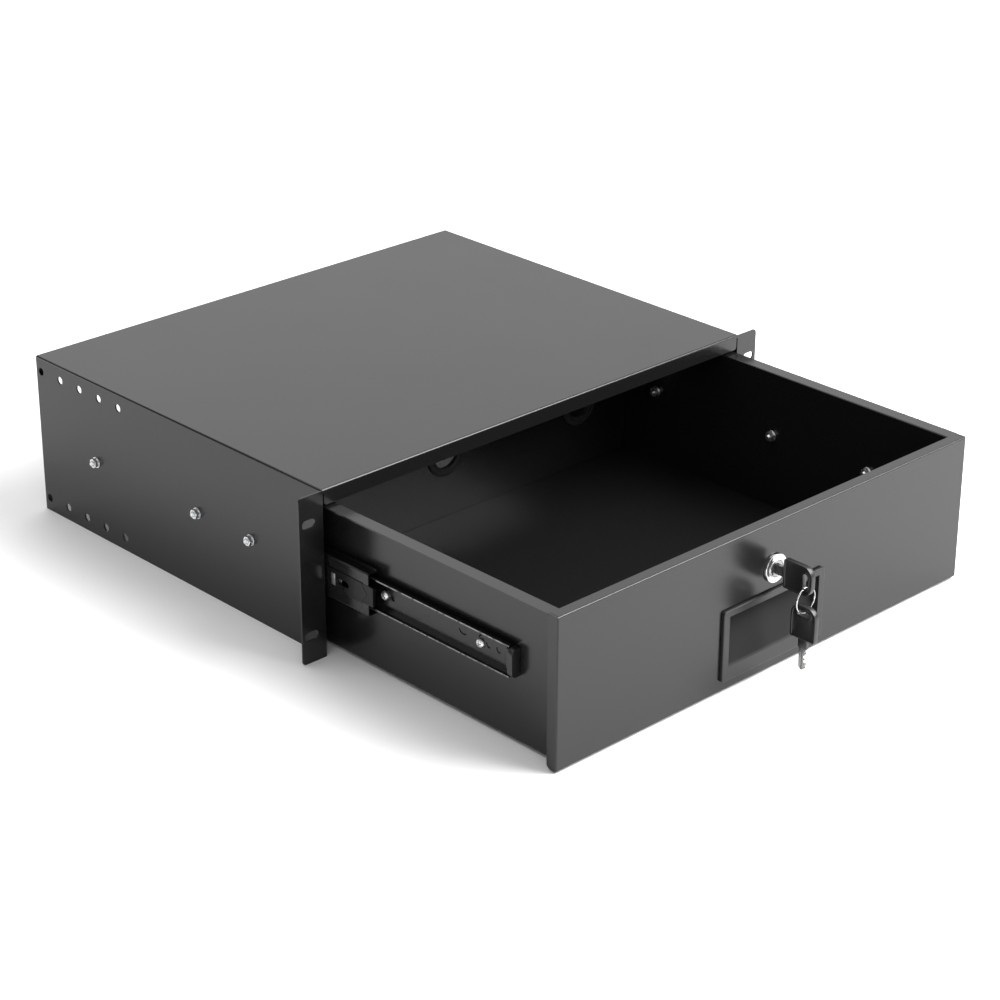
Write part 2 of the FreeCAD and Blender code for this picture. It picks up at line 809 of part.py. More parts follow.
def make_drawer_fasteners(name, side):
    way = (-side, 0, 0)
    seat = across(side, size("inner_sheet"))
    stack = size("inner_sheet") + size("drawer_sheet") + size("washer_sheet") + size("nut_height")
    screws = []
    for place in inner_screws:
        head = rod(
            size("pan_head_diameter") / 2, size("pan_head_height"),
            seat, place, slide_centre, (side, 0, 0))
        shank = rod(size("screw_diameter") / 2, stack + size("screw_end"), seat, place, slide_centre, way)
        screws.append(fused([head, shank]))
    group(name + "_drawer_screws", screws)
    make_nuts(name + "_drawer_nuts", side, inner_screws, side * wall_inner, -1)


# Drawer: box with outward rims, back wall with cable grommets, folded front.

def make_drawer_box():
    body = new_body("drawer_box")
    skin = size("drawer_sheet")
    rim = wall_half + size("rim_width")
    rim_under = drawer_top - skin
    sketch = new_sketch(body, "XZ_Plane", -fold_rear)
    draw_outline(sketch, [
        (-rim, drawer_top), (-wall_inner, drawer_top), (-wall_inner, floor_top), (wall_inner, floor_top),
        (wall_inner, drawer_top), (rim, drawer_top), (rim, rim_under), (wall_half, rim_under),
        (wall_half, floor_bottom), (-wall_half, floor_bottom), (-wall_half, rim_under), (-rim, rim_under)])
    pad(body, sketch, drawer_rear - fold_rear, backwards=True)
    for side in (-1, 1):
        sketch = new_sketch(body, "XY_Plane", front_bottom + skin)
        draw_outline(sketch, [
            (side * wall_half, fold_rear), (side * wall_half, front_inside),
            (side * (wall_inner - size("front_flange")), front_inside),
            (side * (wall_inner - size("front_flange")), front_inside + skin),
            (side * wall_inner, front_inside + skin), (side * wall_inner, fold_rear)])
        pad(body, sketch, front_height - skin * 2)
    round_edges(body, 1, [(-wall_inner, drawer_top), (wall_inner, drawer_top)], skin * 0.9)
    round_edges(body, 1, [(-wall_half, floor_bottom), (wall_half, floor_bottom)], skin)
    sketch = new_sketch(body, "YZ_Plane")
    for place in inner_screws:
        draw_circle(sketch, (place, slide_centre), size("screw_diameter") / 2 + size("screw_clearance"))
    pocket(body, sketch)


def make_drawer_back():
    body = new_body("drawer_back")
    skin = size("drawer_sheet")
    sketch = new_sketch(body, "XZ_Plane", -drawer_rear)
    draw_rectangle(sketch, (-wall_inner, floor_top), (wall_inner, drawer_top))
    pad(body, sketch, skin)
    sketch = new_sketch(body, "XZ_Plane", -drawer_rear)
    for step in (-1, 0, 1):
        draw_circle(
            sketch, (step * size("grommet_spacing"), grommet_height), size("grommet_neck") + size("pull_fit") / 2)
    pocket(body, sketch, skin * 2)


def make_drawer_front():
    body = new_body("drawer_front")
    half = case_inner - size("front_side_gap")
    skin = size("drawer_sheet")
    sketch = new_sketch(body, "XZ_Plane", -front_face)
    draw_rectangle(sketch, (-half, front_bottom), (half, drawer_top))
    pad(body, sketch, skin, backwards=True)
    fold_half = half - skin - 0.4
    for low in (front_bottom, drawer_top - skin):
        sketch = new_sketch(body, "XZ_Plane", -front_face)
        draw_rectangle(sketch, (-fold_half, low), (fold_half, low + skin))
        pad(body, sketch, size("front_fold"), backwards=True)
    ends = [(front_face, drawer_top), (front_face, front_bottom)]
    round_edges(body, 0, ends, skin * 0.9, also=[(2, [(-half, front_face), (half, front_face)])])
    for side in (-1, 1):
        sketch = new_sketch(body, "YZ_Plane", side * half)
        draw_rectangle(sketch, (front_inside, front_bottom), (fold_rear, drawer_top))
        pad(body, sketch, skin, backwards=side > 0)
        corner = (side * (half - skin / 2), fold_rear, front_bottom)
        round_edges(body, 0, [corner], size("front_tab_corner"))
    sketch = new_sketch(body, "XZ_Plane", -fold_rear)
    stiffener_half = wall_inner - 1
    draw_rectangle(
        sketch, (-stiffener_half, drawer_top - skin - size("front_stiffener")),
        (stiffener_half, drawer_top - skin))
    pad(body, sketch, skin)
    sketch = new_sketch(body, "XZ_Plane", -front_face)
    draw_circle(sketch, (0, lock_height), size("barrel_radius") + size("lock_fit") / 2)
    pocket(body, sketch, skin * 2, backwards=True)
    sketch = new_sketch(body, "XZ_Plane", -front_face)
    cup_half = size("pull_width") / 2 - size("pull_side_border") + size("pull_wall") + size("pull_fit")
    cup_low, cup_high = pull_cup_edges()
    draw_rectangle(
        sketch, (-cup_half, cup_low - size("pull_fit")), (cup_half, cup_high + size("pull_fit")))
    pocket(body, sketch, skin * 2, backwards=True)


def pull_cup_edges():
    """The lowest and highest faces of the pull's cup."""
    low = pull_height - size("pull_height") / 2 + size("pull_bottom_border") - size("pull_wall")
    high = (
        pull_height + size("pull_height") / 2 - size("pull_top_border")
        + size("pull_undercut") + size("pull_wall"))
    return low, high


def make_pull_handle():
    body = new_body("pull_handle")
    half = size("pull_width") / 2
    rise = size("pull_height") / 2
    mouth_half = half - size("pull_side_border")
    mouth_low = pull_height - rise + size("pull_bottom_border")
    mouth_high = pull_height + rise - size("pull_top_border")
    cup_low, cup_high = pull_cup_edges()
    wall = size("pull_wall")
    frame_face = front_face - size("pull_proud")
    sketch = new_sketch(body, "XZ_Plane", -frame_face)
    draw_rectangle(sketch, (-half, pull_height - rise), (half, pull_height + rise))
    pad(body, sketch, size("pull_proud"), backwards=True)
    corners = [(side * half, pull_height + end * rise) for side in (-1, 1) for end in (-1, 1)]
    round_edges(body, 1, corners, size("pull_corner"))
    flats = [(frame_face, pull_height + end * rise) for end in (-1, 1)]
    round_edges(body, 0, flats, size("pull_edge"), also=[(2, [(side * half, frame_face) for side in (-1, 1)])])
    back = front_face + size("pull_depth")
    sketch = new_sketch(body, "YZ_Plane", -(mouth_half + wall))
    draw_outline(sketch, [
        (front_face, cup_low), (front_face, cup_high), (back, cup_high), (back, mouth_high)])
    pad(body, sketch, (mouth_half + wall) * 2)
    sketch = new_sketch(body, "YZ_Plane", -mouth_half)
    draw_outline(sketch, [
        (frame_face, mouth_low), (frame_face, mouth_high), (front_face, mouth_high),
        (front_face, cup_high - wall), (back - wall, cup_high - wall), (back - wall, mouth_high)])
    pocket(body, sketch, mouth_half * 2)


def make_grommets():
    rings = []
    lip = size("grommet_lip")
    rear = (0, 1, 0)
    inside = drawer_rear - size("drawer_sheet")
    depth = lip * 2 + size("drawer_sheet")
    for step in (-1, 0, 1):
        x = as_size(step) * size("grommet_spacing")
        front_lip = rod(size("grommet_radius"), lip, x, inside - lip, grommet_height, rear)
        neck = rod(size("grommet_neck"), depth, x, inside - lip, grommet_height, rear)
        rear_lip = rod(size("grommet_radius") - 1, lip * 0.6, x, drawer_rear, grommet_height, rear)
        hole = rod(size("grommet_bore"), depth, x, inside - lip, grommet_height, rear)
        rings.append(less(fused([front_lip, neck, rear_lip]), hole))
    group("cable_grommets", rings)


# Cam lock.

def make_lock_housing():
    body = new_body("lock_housing")
    rim = size("bezel_radius")
    barrel = size("barrel_radius")
    bore = size("plug_radius") + size("plug_fit")
    bezel = front_face - size("bezel_proud")
    rear = front_face + size("barrel_length")
    sketch = new_sketch(body, "YZ_Plane")
    draw_outline(sketch, [
        (bezel, lock_height + bore), (bezel, lock_height + rim - 2), (bezel + 0.8, lock_height + rim - 0.4),
        (bezel + 1.8, lock_height + rim), (front_face, lock_height + rim), (front_face, lock_height + barrel),
        (rear, lock_height + barrel), (rear, lock_height + bore)])
    axis = sketch.addGeometry(
        Part.LineSegment(Vector(float(bezel), float(lock_height), 0), Vector(float(rear), float(lock_height), 0)),
        True)
    pin_point(sketch, axis, 1, (bezel, lock_height))
    pin_point(sketch, axis, 2, (rear, lock_height))
    feature = body.newObject("PartDesign::Revolution", "lock_housing_turned")
    feature.Profile = sketch
    feature.ReferenceAxis = (sketch, ["Axis0"])
    feature.Angle = 360
    doc.recompute()
    for side in (-1, 1):
        sketch = new_sketch(body, "XZ_Plane", -rear)
        flat = size("barrel_flats") / 2
        draw_rectangle(
            sketch, (side * flat, lock_height - barrel), (side * (barrel + 1), lock_height + barrel))
        pocket(body, sketch, size("barrel_length"), backwards=False)


def make_lock_nut():
    body = new_body("lock_nut")
    corner = size("lock_nut_flats") / 2 / math.cos(math.radians(30))
    sketch = new_sketch(body, "XZ_Plane", -front_inside)
    points = []
    for step in range(6):
        turn = math.radians(60 * step + 30)
        points.append((corner * math.cos(turn), lock_height + corner * math.sin(turn)))
    draw_outline(sketch, points)
    draw_circle(sketch, (0, lock_height), size("barrel_radius") + size("plug_fit"))
    pad(body, sketch, size("lock_nut_height"), backwards=True)


def make_lock_plug():
    body = new_body("lock_plug")
    face = front_face - size("bezel_proud") + 0.3
    rear = front_face + size("barrel_length") + size("lock_fit") / 2
    tail = size("tail_width") / 2
    sketch = new_sketch(body, "XZ_Plane", -face)
    draw_circle(sketch, (0, lock_height), size("plug_radius"))
    pad(body, sketch, rear - face, backwards=True)
    sketch = new_sketch(body, "XZ_Plane", -rear)
    draw_rectangle(sketch, (-tail, lock_height - tail), (tail, lock_height + tail))
    pad(body, sketch, size("cam_sheet") - 0.1, backwards=True)
    sketch = new_sketch(body, "XZ_Plane", -face)
    half = size("blade_thickness") / 2 + size("keyway_fit")
    rise = size("blade_height") / 2 + size("keyway_fit")
    draw_rectangle(sketch, (-half, lock_height - rise), (half, lock_height + rise))
    pocket(body, sketch, size("blade_length") + 0.5, backwards=True)
    sketch = new_sketch(body, "XZ_Plane", -(rear + size("cam_sheet")))
    draw_circle(sketch, (0, lock_height), size("cam_screw_radius") + size("plug_fit"))
    pocket(body, sketch, size("cam_screw_depth") + 0.2, backwards=False)


def make_lock_cam():
    body = new_body("lock_cam")
    half = size("cam_width") / 2
    reach = size("cam_reach")
    sketch = new_sketch(body, "XZ_Plane", -cam_plane)
    draw_outline(sketch, [
        (0, lock_height - half), (reach - 4, lock_height - half), (reach, lock_height - half + 4),
        (reach, lock_height + half - 4), (reach - 4, lock_height + half), (0, lock_height + half)])
    pad(body, sketch, size("cam_sheet"), backwards=True)
    sketch = new_sketch(body, "XZ_Plane", -cam_plane)
    draw_circle(sketch, (0, lock_height), size("cam_boss"))
    pad(body, sketch, size("cam_sheet"), backwards=True)
    sketch = new_sketch(body, "XZ_Plane", -cam_plane)
    hole = size("tail_width") / 2 + size("plug_fit")
    draw_rectangle(sketch, (-hole, lock_height - hole), (hole, lock_height + hole))
    pocket(body, sketch, size("cam_sheet") * 2, backwards=True)


def make_cam_screw():
    plane = cam_plane + size("cam_sheet")
    rear = (0, 1, 0)
    depth = size("cam_screw_depth")
    head = rod(size("cam_screw_head"), size("cam_screw_head_height"), 0, plane, lock_height, rear)
    shank = rod(size("cam_screw_radius"), depth, 0, plane - depth, lock_height, rear)
    screw = fused([head, shank])
    screw.Label = "cam_screw"


# Keys, drawn about the hole of the bow with the blade along +Y.

def bow_edges():
    """Where the bow starts and ends along the key."""
    end = -size("bow_slot_inset")
    return end, end + size("bow_length")


def make_key_bow(label):
    body = new_body(label)
    end, start = bow_edges()
    rise = size("bow_height") / 2
    half = size("bow_thickness") / 2
    sketch = new_sketch(body, "YZ_Plane", -half)
    draw_rectangle(sketch, (end, -rise), (start, rise))
    pad(body, sketch, size("bow_thickness"))
    round_edges(body, 0, [(end, -rise), (end, rise)], size("bow_corner"))
    round_edges(body, 0, [(start, -rise), (start, rise)], 1.5)
    slot = size("bow_slot_length") / 2 - size("bow_slot_width") / 2
    width = size("bow_slot_width") / 2
    sketch = new_sketch(body, "YZ_Plane", -half)
    draw_rectangle(sketch, (-width, -slot), (width, slot))
    pocket(body, sketch)
    for tip in (-1, 1):
        sketch = new_sketch(body, "YZ_Plane", -half)
        draw_circle(sketch, (0, tip * slot), width)
        pocket(body, sketch)
    return body


def make_key_blade(label):
    body = new_body(label)
    start = bow_edges()[1]
    shoulder = start + size("blade_neck")
    tip = shoulder + size("blade_length")
    half = size("blade_thickness") / 2
    rise = size("blade_height") / 2
    bite = size("blade_length") / 7
    low = -rise + 1.2
    deep = -rise + 2.2
    sketch = new_sketch(body, "YZ_Plane", -half)
    draw_outline(sketch, [
        (start, -rise), (shoulder, -rise), (shoulder + bite, low), (shoulder + bite * 2, -rise + 0.4),
        (shoulder + bite * 3, deep), (shoulder + bite * 4, low), (shoulder + bite * 5, deep),
        (shoulder + bite * 6, -rise + 0.4), (tip, -0.8), (tip, 0.8), (tip - bite, rise), (start, rise)])
    pad(body, sketch, size("blade_thickness"))
    return body


def make_keys():
    bow_end, bow_start = bow_edges()
    bezel_front = front_face - size("bezel_proud") + 0.3
    hole_y = bezel_front - size("blade_neck") - bow_start
    for label, make in (("key_bow", make_key_bow), ("key_blade", make_key_blade)):
        place_at(make(label), 0, hole_y, lock_height)
    wire = size("ring_wire")
    ring_top = lock_height - size("bow_slot_length") / 2 + wire + size("ring_fit")
    ring_centre = ring_top - size("ring_radius")
    ring = doc.addObject("Part::Torus", "key_ring")
    ring.Label = "key_ring"
    bind(ring, Radius1=size("ring_radius"), Radius2=wire)
    place_at(ring, 0, hole_y, ring_centre, spin_to((0, 1, 0)))
    spare_hole = ring_centre - size("ring_radius") + wire + size("ring_fit") - size("bow_slot_width") / 2
    hanging = FreeCAD.Rotation(Vector(1, 0, 0), -90)
    for label, make in (("spare_key_bow", make_key_bow), ("spare_key_blade", make_key_blade)):
        place_at(make(label), 0, hole_y, spare_hole, hanging)


def write_parts():
    """Check every object, then write one file for each sub-part."""
    doc.recompute()
    inner = set()
    for item in doc.Objects:
        if "Invalid" in item.State or "Error" in item.State:
            raise RuntimeError("%s is %s" % (item.Label, item.State))
        if item.TypeId in ("Part::Compound", "Part::MultiFuse", "Part::Cut"):
            inner.update(link.Name for link in item.OutList)
    os.makedirs("parts", exist_ok=True)
    kinds = ("PartDesign::Body", "Part::Compound", "Part::MultiFuse", "Part::Cut", "Part::Torus")
    for item in doc.Objects:
        if item.TypeId not in kinds or item.Name in inner:
            continue
        shape = item.Shape
        if shape.isNull() or not shape.isValid():
            raise RuntimeError("%s has no valid shape" % item.Label)
        shape.exportStep("parts/%s.step" % item.Label)
        print("%-22s %2d solid %10.1f mm3" % (item.Label, len(shape.Solids), shape.Volume))


make_case_shell()
make_lock_strike()
make_drawer_box()
make_drawer_back()
make_drawer_front()
make_pull_handle()
make_grommets()
make_lock_housing()
make_lock_nut()
make_lock_plug()
make_lock_cam()
make_cam_screw()
make_keys()
for name, side in SIDES:
    make_outer_rail(name, side)
    make_middle_rail(name, side)
    make_slide_catch(name, side)
    make_inner_rail(name, side)
    make_rail_cap(name, side)
    make_cages(name, side)
    make_case_fasteners(name, side)
    make_drawer_fasteners(name, side)
write_parts()
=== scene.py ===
# %% [markdown]
# # A locking rack drawer, dressed for the camera
#
# The solids of the drawer come from its CAD model: a folded case, a drawer on
# ball-bearing slides, a cam lock and its keys. This lesson gives them their
# finishes, rounds the sharp CAD edges of the sheet metal, and remakes the small
# things that the eye looks for, such as nuts, screw heads, the lock and the keys.
# Everything is in metres, in the same frame as the CAD: X to the right, Y to the
# rear, Z up, and the origin between the four slots of the ears.

import math

import bmesh
import bpy
from mathutils import Matrix, Vector


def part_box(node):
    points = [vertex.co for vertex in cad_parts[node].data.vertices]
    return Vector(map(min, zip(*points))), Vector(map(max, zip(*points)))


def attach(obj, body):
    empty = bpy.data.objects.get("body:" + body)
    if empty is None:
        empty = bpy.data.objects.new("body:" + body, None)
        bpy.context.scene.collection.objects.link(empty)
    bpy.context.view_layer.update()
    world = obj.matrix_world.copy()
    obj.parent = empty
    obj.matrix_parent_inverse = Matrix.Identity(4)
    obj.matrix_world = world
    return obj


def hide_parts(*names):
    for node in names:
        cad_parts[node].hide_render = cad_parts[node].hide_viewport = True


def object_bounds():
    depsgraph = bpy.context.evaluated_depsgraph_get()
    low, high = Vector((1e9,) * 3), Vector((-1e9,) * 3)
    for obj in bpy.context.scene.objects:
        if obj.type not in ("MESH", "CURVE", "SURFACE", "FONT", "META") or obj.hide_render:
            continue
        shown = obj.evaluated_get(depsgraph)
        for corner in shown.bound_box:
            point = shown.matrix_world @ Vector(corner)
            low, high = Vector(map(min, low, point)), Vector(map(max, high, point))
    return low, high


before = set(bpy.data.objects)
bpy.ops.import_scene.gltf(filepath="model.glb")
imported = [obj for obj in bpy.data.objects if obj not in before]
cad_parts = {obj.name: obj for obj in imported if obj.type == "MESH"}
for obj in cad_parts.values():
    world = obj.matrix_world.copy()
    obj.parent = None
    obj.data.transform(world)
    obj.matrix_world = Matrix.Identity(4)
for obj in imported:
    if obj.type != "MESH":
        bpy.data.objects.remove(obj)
cad_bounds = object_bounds()
MM = 0.001  # one millimetre in Blender's metres

# %% [markdown]
# ## Where the camera stands
#
# The photograph was taken with a long lens from the front left, looking 25
# degrees down. The four ear slots are a known rectangle, so the camera's place
# can be solved from where they appear, and the lens with it. Three angles could
# turn the camera too, but their order is easy to get wrong, so the cell builds
# the camera's three axes and hands them over as a matrix.

# %% Camera
LOOK_TURN = math.radians(43.61)
LOOK_DOWN = math.radians(24.92)
ROLL = math.radians(0.17)
CAMERA_PLACE = (-1.3284, -1.3465, 0.8680)
LENS = 97.59
forward = Vector((
    math.sin(LOOK_TURN) * math.cos(LOOK_DOWN),
    math.cos(LOOK_TURN) * math.cos(LOOK_DOWN),
    -math.sin(LOOK_DOWN)))
level = Vector((math.cos(LOOK_TURN), -math.sin(LOOK_TURN), 0))
upward = level.cross(forward)
right = level * math.cos(ROLL) + upward * math.sin(ROLL)
top = upward * math.cos(ROLL) - level * math.sin(ROLL)
turn = Matrix((right, top, -forward)).transposed()
camera_data = bpy.data.cameras.new("camera")
camera_data.sensor_width = 36
camera_data.lens = LENS
camera = bpy.data.objects.new("camera", camera_data)
camera.matrix_world = Matrix.Translation(CAMERA_PLACE) @ turn.to_4x4()
bpy.context.scene.collection.objects.link(camera)
bpy.context.scene.camera = camera
print("camera at", CAMERA_PLACE, "with a lens of", LENS, "mm")

# %% [markdown]
# ## Colours and nodes
#
# Colours are picked as sRGB hex values, as on a screen, and Blender's nodes work
# in linear light, so one function turns one into the other. A second adds a node
# with its settings and its links, which keeps the materials below readable. Two
# more begin a material from nothing and link its shader to the output.

# %% Helpers for colours and nodes
def linear(code):
    """An sRGB hex colour in linear light, with alpha."""
    channels = []
    for place in (0, 2, 4):
        value = int(code[place:place + 2], 16) / 255
        channels.append(value / 12.92 if value <= 0.04045 else ((value + 0.055) / 1.055) ** 2.4)
    return (*channels, 1.0)


def add_node(material, kind, inputs=None, **settings):
    """A shader node with its settings, and inputs that are values or sockets."""
    tree = material.node_tree
    node = tree.nodes.new("ShaderNode" + kind)
    for name, value in settings.items():
        setattr(node, name, value)
    for name, value in (inputs or {}).items():
        if isinstance(value, bpy.types.NodeSocket):
            tree.links.new(value, node.inputs[name])
        else:
            node.inputs[name].default_value = value
    return node


def start_material(name):
    """A material with nothing but its output node."""
    material = bpy.data.materials.new(name)
    material.use_nodes = True
    material.node_tree.nodes.clear()
    return material


def close_material(material, shader):
    """Link the shader to the output."""
    add_node(material, "OutputMaterial", {"Surface": shader.outputs[0]})
    return material


# %% [markdown]
# ## Floor and light
#
# Black paint is seen mostly by what it mirrors, so the studio matters more than
# the paint's colour. Each face has its own mirror image: the top of the case
# shows the wide softbox behind it, the left side shows the floor beside it, and
# the drawer's front shows the floor before it, which the front softbox makes
# brighter. The overhead softbox is what makes the floor white, and a weak, large
# fill light from the front left reaches the slides and the ears. Little light
# comes from the room itself, and that is why the folds of the case, which mirror
# the room, are dark lines.

# %% Floor, lights and background
FLOOR_LEVEL = cad_bounds[0][2]
ROOM_LIGHT = 0.3
floor_mesh = bpy.data.meshes.new("floor")
shape = bmesh.new()
bmesh.ops.create_grid(shape, x_segments=1, y_segments=1, size=6)
shape.to_mesh(floor_mesh)
shape.free()
floor_mesh.transform(Matrix.Translation((0, 0, FLOOR_LEVEL)))
floor = bpy.data.objects.new("floor", floor_mesh)
bpy.context.scene.collection.objects.link(floor)

paper = start_material("matte_white_paper")
paper_shader = add_node(paper, "BsdfPrincipled", {
    "Base Color": linear("f4f4f4"), "Roughness": 0.9})
floor_mesh.materials.append(close_material(paper, paper_shader))

world = bpy.data.worlds.new("studio")
world.use_nodes = True
room = world.node_tree.nodes["Background"]
room.inputs["Color"].default_value = (1, 1, 1, 1)
room.inputs["Strength"].default_value = ROOM_LIGHT
bpy.context.scene.world = world
bpy.context.scene.view_settings.view_transform = "Standard"


def soft_light(name, place, target, width, height, power):
    """A rectangular soft light that faces a point, in metres and watts."""
    data = bpy.data.lights.new(name, "AREA")
    data.shape = "RECTANGLE"
    data.size = width
    data.size_y = height
    data.energy = power
    lamp = bpy.data.objects.new(name, data)
    aim = (Vector(target) - Vector(place)).to_track_quat("-Z", "Y")
    lamp.matrix_world = Matrix.Translation(place) @ aim.to_matrix().to_4x4()
    bpy.context.scene.collection.objects.link(lamp)


soft_light("back_softbox", (1.55, 1.75, 1.3), (0, 0, 0), 3.0, 1.6, 15)
soft_light("overhead_softbox", (0, 0.75, 2.4), (0, 0.75, 0), 3.0, 3.0, 47)
soft_light("front_softbox", (1.0, -1.25, 1.5), (0.05, -0.4, 0), 1.8, 1.5, 118)
soft_light("fill_softbox", (-2.2, -2.2, 1.7), (0, 0, 0), 3.2, 2.2, 20)
print("floor at", round(FLOOR_LEVEL, 4), "with", len(bpy.data.lights), "lights")

# %% [markdown]
# ## Powder-coated steel
#
# The case and the drawer are cold-rolled steel sheet, powder coated black and
# baked. The powder melts into a skin with a faint orange-peel waviness about a
# millimetre across and a finer grain on it, so reflections are soft but still
# there: the front mirrors the lock and the keys as dark blurs. The waves could be
# modelled, but they are a few hundredths of a millimetre high, so a bump from two
# noises at those sizes does it. A third, slow noise shifts the roughness by a
# hair, because no coat is even over half a metre.

# %% Powder coat
def powder_coat(name, colour, roughness, peel):
    """Baked powder coat: a dark dielectric skin with orange peel."""
    material = start_material(name)
    place = add_node(material, "TexCoord").outputs["Object"]
    wave = add_node(material, "TexNoise", {
        "Vector": place, "Scale": 1 / (1.4 * MM), "Detail": 2.0})
    grain = add_node(material, "TexNoise", {
        "Vector": place, "Scale": 1 / (0.45 * MM), "Detail": 1.0})
    cloud = add_node(material, "TexNoise", {
        "Vector": place, "Scale": 1 / (70 * MM), "Detail": 3.0})
    height = add_node(material, "Math", {
        0: wave.outputs[0], 1: grain.outputs[0]}, operation="ADD")
    bump = add_node(material, "Bump", {
        "Height": height.outputs[0], "Strength": peel, "Distance": 0.03 * MM})
    gloss = add_node(material, "MapRange", {
        "Value": cloud.outputs[0], "From Min": 0.3, "From Max": 0.7,
        "To Min": roughness - 0.008, "To Max": roughness + 0.008})
    shader = add_node(material, "BsdfPrincipled", {
        "Base Color": linear(colour), "Roughness": gloss.outputs[0], "IOR": 1.45,
        "Normal": bump.outputs[0]})
    return close_material(material, shader)


# a satin black that is grey wherever it mirrors a light, with soft-edged images
case_coat = powder_coat("case_powder_coat_on_steel", "161617", 0.24, 0.22)
# the same powder a shade glossier, so the front mirrors the lock and the keys
drawer_coat = powder_coat("drawer_powder_coat_on_steel", "161617", 0.22, 0.2)
print("coats:", case_coat.name, "and", drawer_coat.name)

# %% [markdown]
# ## Bare and plated metals
#
# Nuts, washers and screws are zinc plated, the lock's housing is chromed, its
# plug and the keys are nickel plated, and the balls and the ring are polished
# steel. Each is a metal, so its colour is the colour of its mirror, and only the
# roughness and the scratches differ. Noise, stretched along one axis, makes the
# clouds in the plating and the scratches from handling, and one recipe with a
# scratch length in millimetres serves them all.

# %% Metals
def plated_metal(name, colour, roughness, scratch, spread):
    """A metal with fine clouding and scratches of a given length in millimetres."""
    material = start_material(name)
    place = add_node(material, "TexCoord").outputs["Object"]
    stretch = add_node(material, "Mapping", {"Vector": place, "Scale": (1, 1, 6)})
    marks = add_node(material, "TexNoise", {
        "Vector": stretch.outputs[0], "Scale": 1 / (scratch * MM), "Detail": 4.0})
    rough = add_node(material, "MapRange", {
        "Value": marks.outputs[0], "From Min": 0.3, "From Max": 0.7,
        "To Min": roughness - spread, "To Max": roughness + spread})
    bump = add_node(material, "Bump", {
        "Height": marks.outputs[0], "Strength": 0.15, "Distance": 0.01 * MM})
    shader = add_node(material, "BsdfPrincipled", {
        "Base Color": linear(colour), "Metallic": 1.0, "Roughness": rough.outputs[0],
        "Normal": bump.outputs[0]})
    return close_material(material, shader)


# bright and slightly blue, clouded, with wide soft highlights
zinc_plate = plated_metal("zinc_plated_steel", "dcdee0", 0.33, 0.8, 0.06)
# a clear mirror: the bezel is white where it sees a lamp and black beside it
lock_chrome = plated_metal("chromed_zinc_casting", "d4d4d4", 0.18, 2.0, 0.02)
# greyer than the bezel, dulled by the key's scratches
plug_metal = plated_metal("nickel_plated_die_cast_zinc", "8e8e8d", 0.24, 1.0, 0.06)
# warm grey, with short scratches from the lock
key_metal = plated_metal("nickel_plated_brass_strip", "8c8c8a", 0.2, 0.6, 0.08)
# thin bright lines along the wire
ring_steel = plated_metal("polished_spring_steel", "d8d8d8", 0.12, 1.5, 0.04)
# each ball is a point of light between the rails
ball_steel = plated_metal("hardened_ball_steel", "cccccc", 0.08, 1.0, 0.02)
# a satin grey, as the strip comes from the rolls
cage_steel = plated_metal("pressed_bright_strip", "b8b8b6", 0.3, 0.7, 0.06)
print("materials so far:", len(bpy.data.materials))

# %% [markdown]
# ## Black slide rails
#
# The slides are roll-formed steel strip with a thin black electro-coat. It is
# smoother than powder coat and follows the strip, so fine rolling lines run along
# the rail: a noise that is squeezed along Y makes them. The coat wears back to
# steel where the lips of the inner member rub, and a thin bright line shows
# there. The wear could be painted by hand, but a mask from the distance to the
# middle plane, broken up by a noise, follows the lip by itself. The latch plate
# is spring steel with an oiled oxide, which is blacker and mirrors less.

# %% Electro-coated rails
def electro_coat(name, colour, roughness, ior, lip_edge=None):
    """A thin black coat over rolled strip, worn to steel at the lip's edge."""
    material = start_material(name)
    place = add_node(material, "TexCoord").outputs["Object"]
    along = add_node(material, "Mapping", {"Vector": place, "Scale": (1, 0.02, 1)})
    lines = add_node(material, "TexNoise", {
        "Vector": along.outputs[0], "Scale": 1 / (0.5 * MM), "Detail": 2.0})
    bump = add_node(material, "Bump", {
        "Height": lines.outputs[0], "Strength": 0.12, "Distance": 0.02 * MM})
    smear = add_node(material, "TexNoise", {"Vector": place, "Scale": 1 / (9 * MM), "Detail": 3.0})
    rough = add_node(material, "MapRange", {
        "Value": smear.outputs[0], "From Min": 0.3, "From Max": 0.7,
        "To Min": roughness - 0.05, "To Max": roughness + 0.07})
    shader = add_node(material, "BsdfPrincipled", {
        "Base Color": linear(colour), "Roughness": rough.outputs[0], "IOR": ior,
        "Normal": bump.outputs[0]})
    if lip_edge:
        across = add_node(material, "SeparateXYZ", {"Vector": place}).outputs["X"]
        out = add_node(material, "Math", {0: across}, operation="ABSOLUTE")
        edge = add_node(material, "MapRange", {
            "Value": out.outputs[0],
            "From Min": lip_edge - 0.55 * MM, "From Max": lip_edge - 0.35 * MM})
        spots = add_node(material, "TexNoise", {
            "Vector": place, "Scale": 1 / (4 * MM), "Detail": 2.0})
        worn = add_node(material, "MapRange", {
            "Value": spots.outputs[0], "From Min": 0.3, "From Max": 0.5})
        bare = add_node(material, "Math", {
            0: edge.outputs[0], 1: worn.outputs[0]}, operation="MULTIPLY")
        # inputs 6 and 7 of a Mix node are its two colours
        colours = add_node(material, "Mix", {
            "Factor": bare.outputs[0], 6: linear(colour), 7: linear("848483")}, data_type="RGBA")
        material.node_tree.links.new(colours.outputs[2], shader.inputs["Base Color"])
        material.node_tree.links.new(bare.outputs[0], shader.inputs["Metallic"])
    return close_material(material, shader)


def widest(name):
    """How far a node reaches from the middle plane."""
    return max(abs(corner[0]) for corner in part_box(name))


LIP_EDGE = widest("left_inner_rail")
# a smooth black with long, narrow reflections along the rail
rail_coat = electro_coat("black_electro_coat_on_rolled_steel", "111112", 0.22, 1.46)
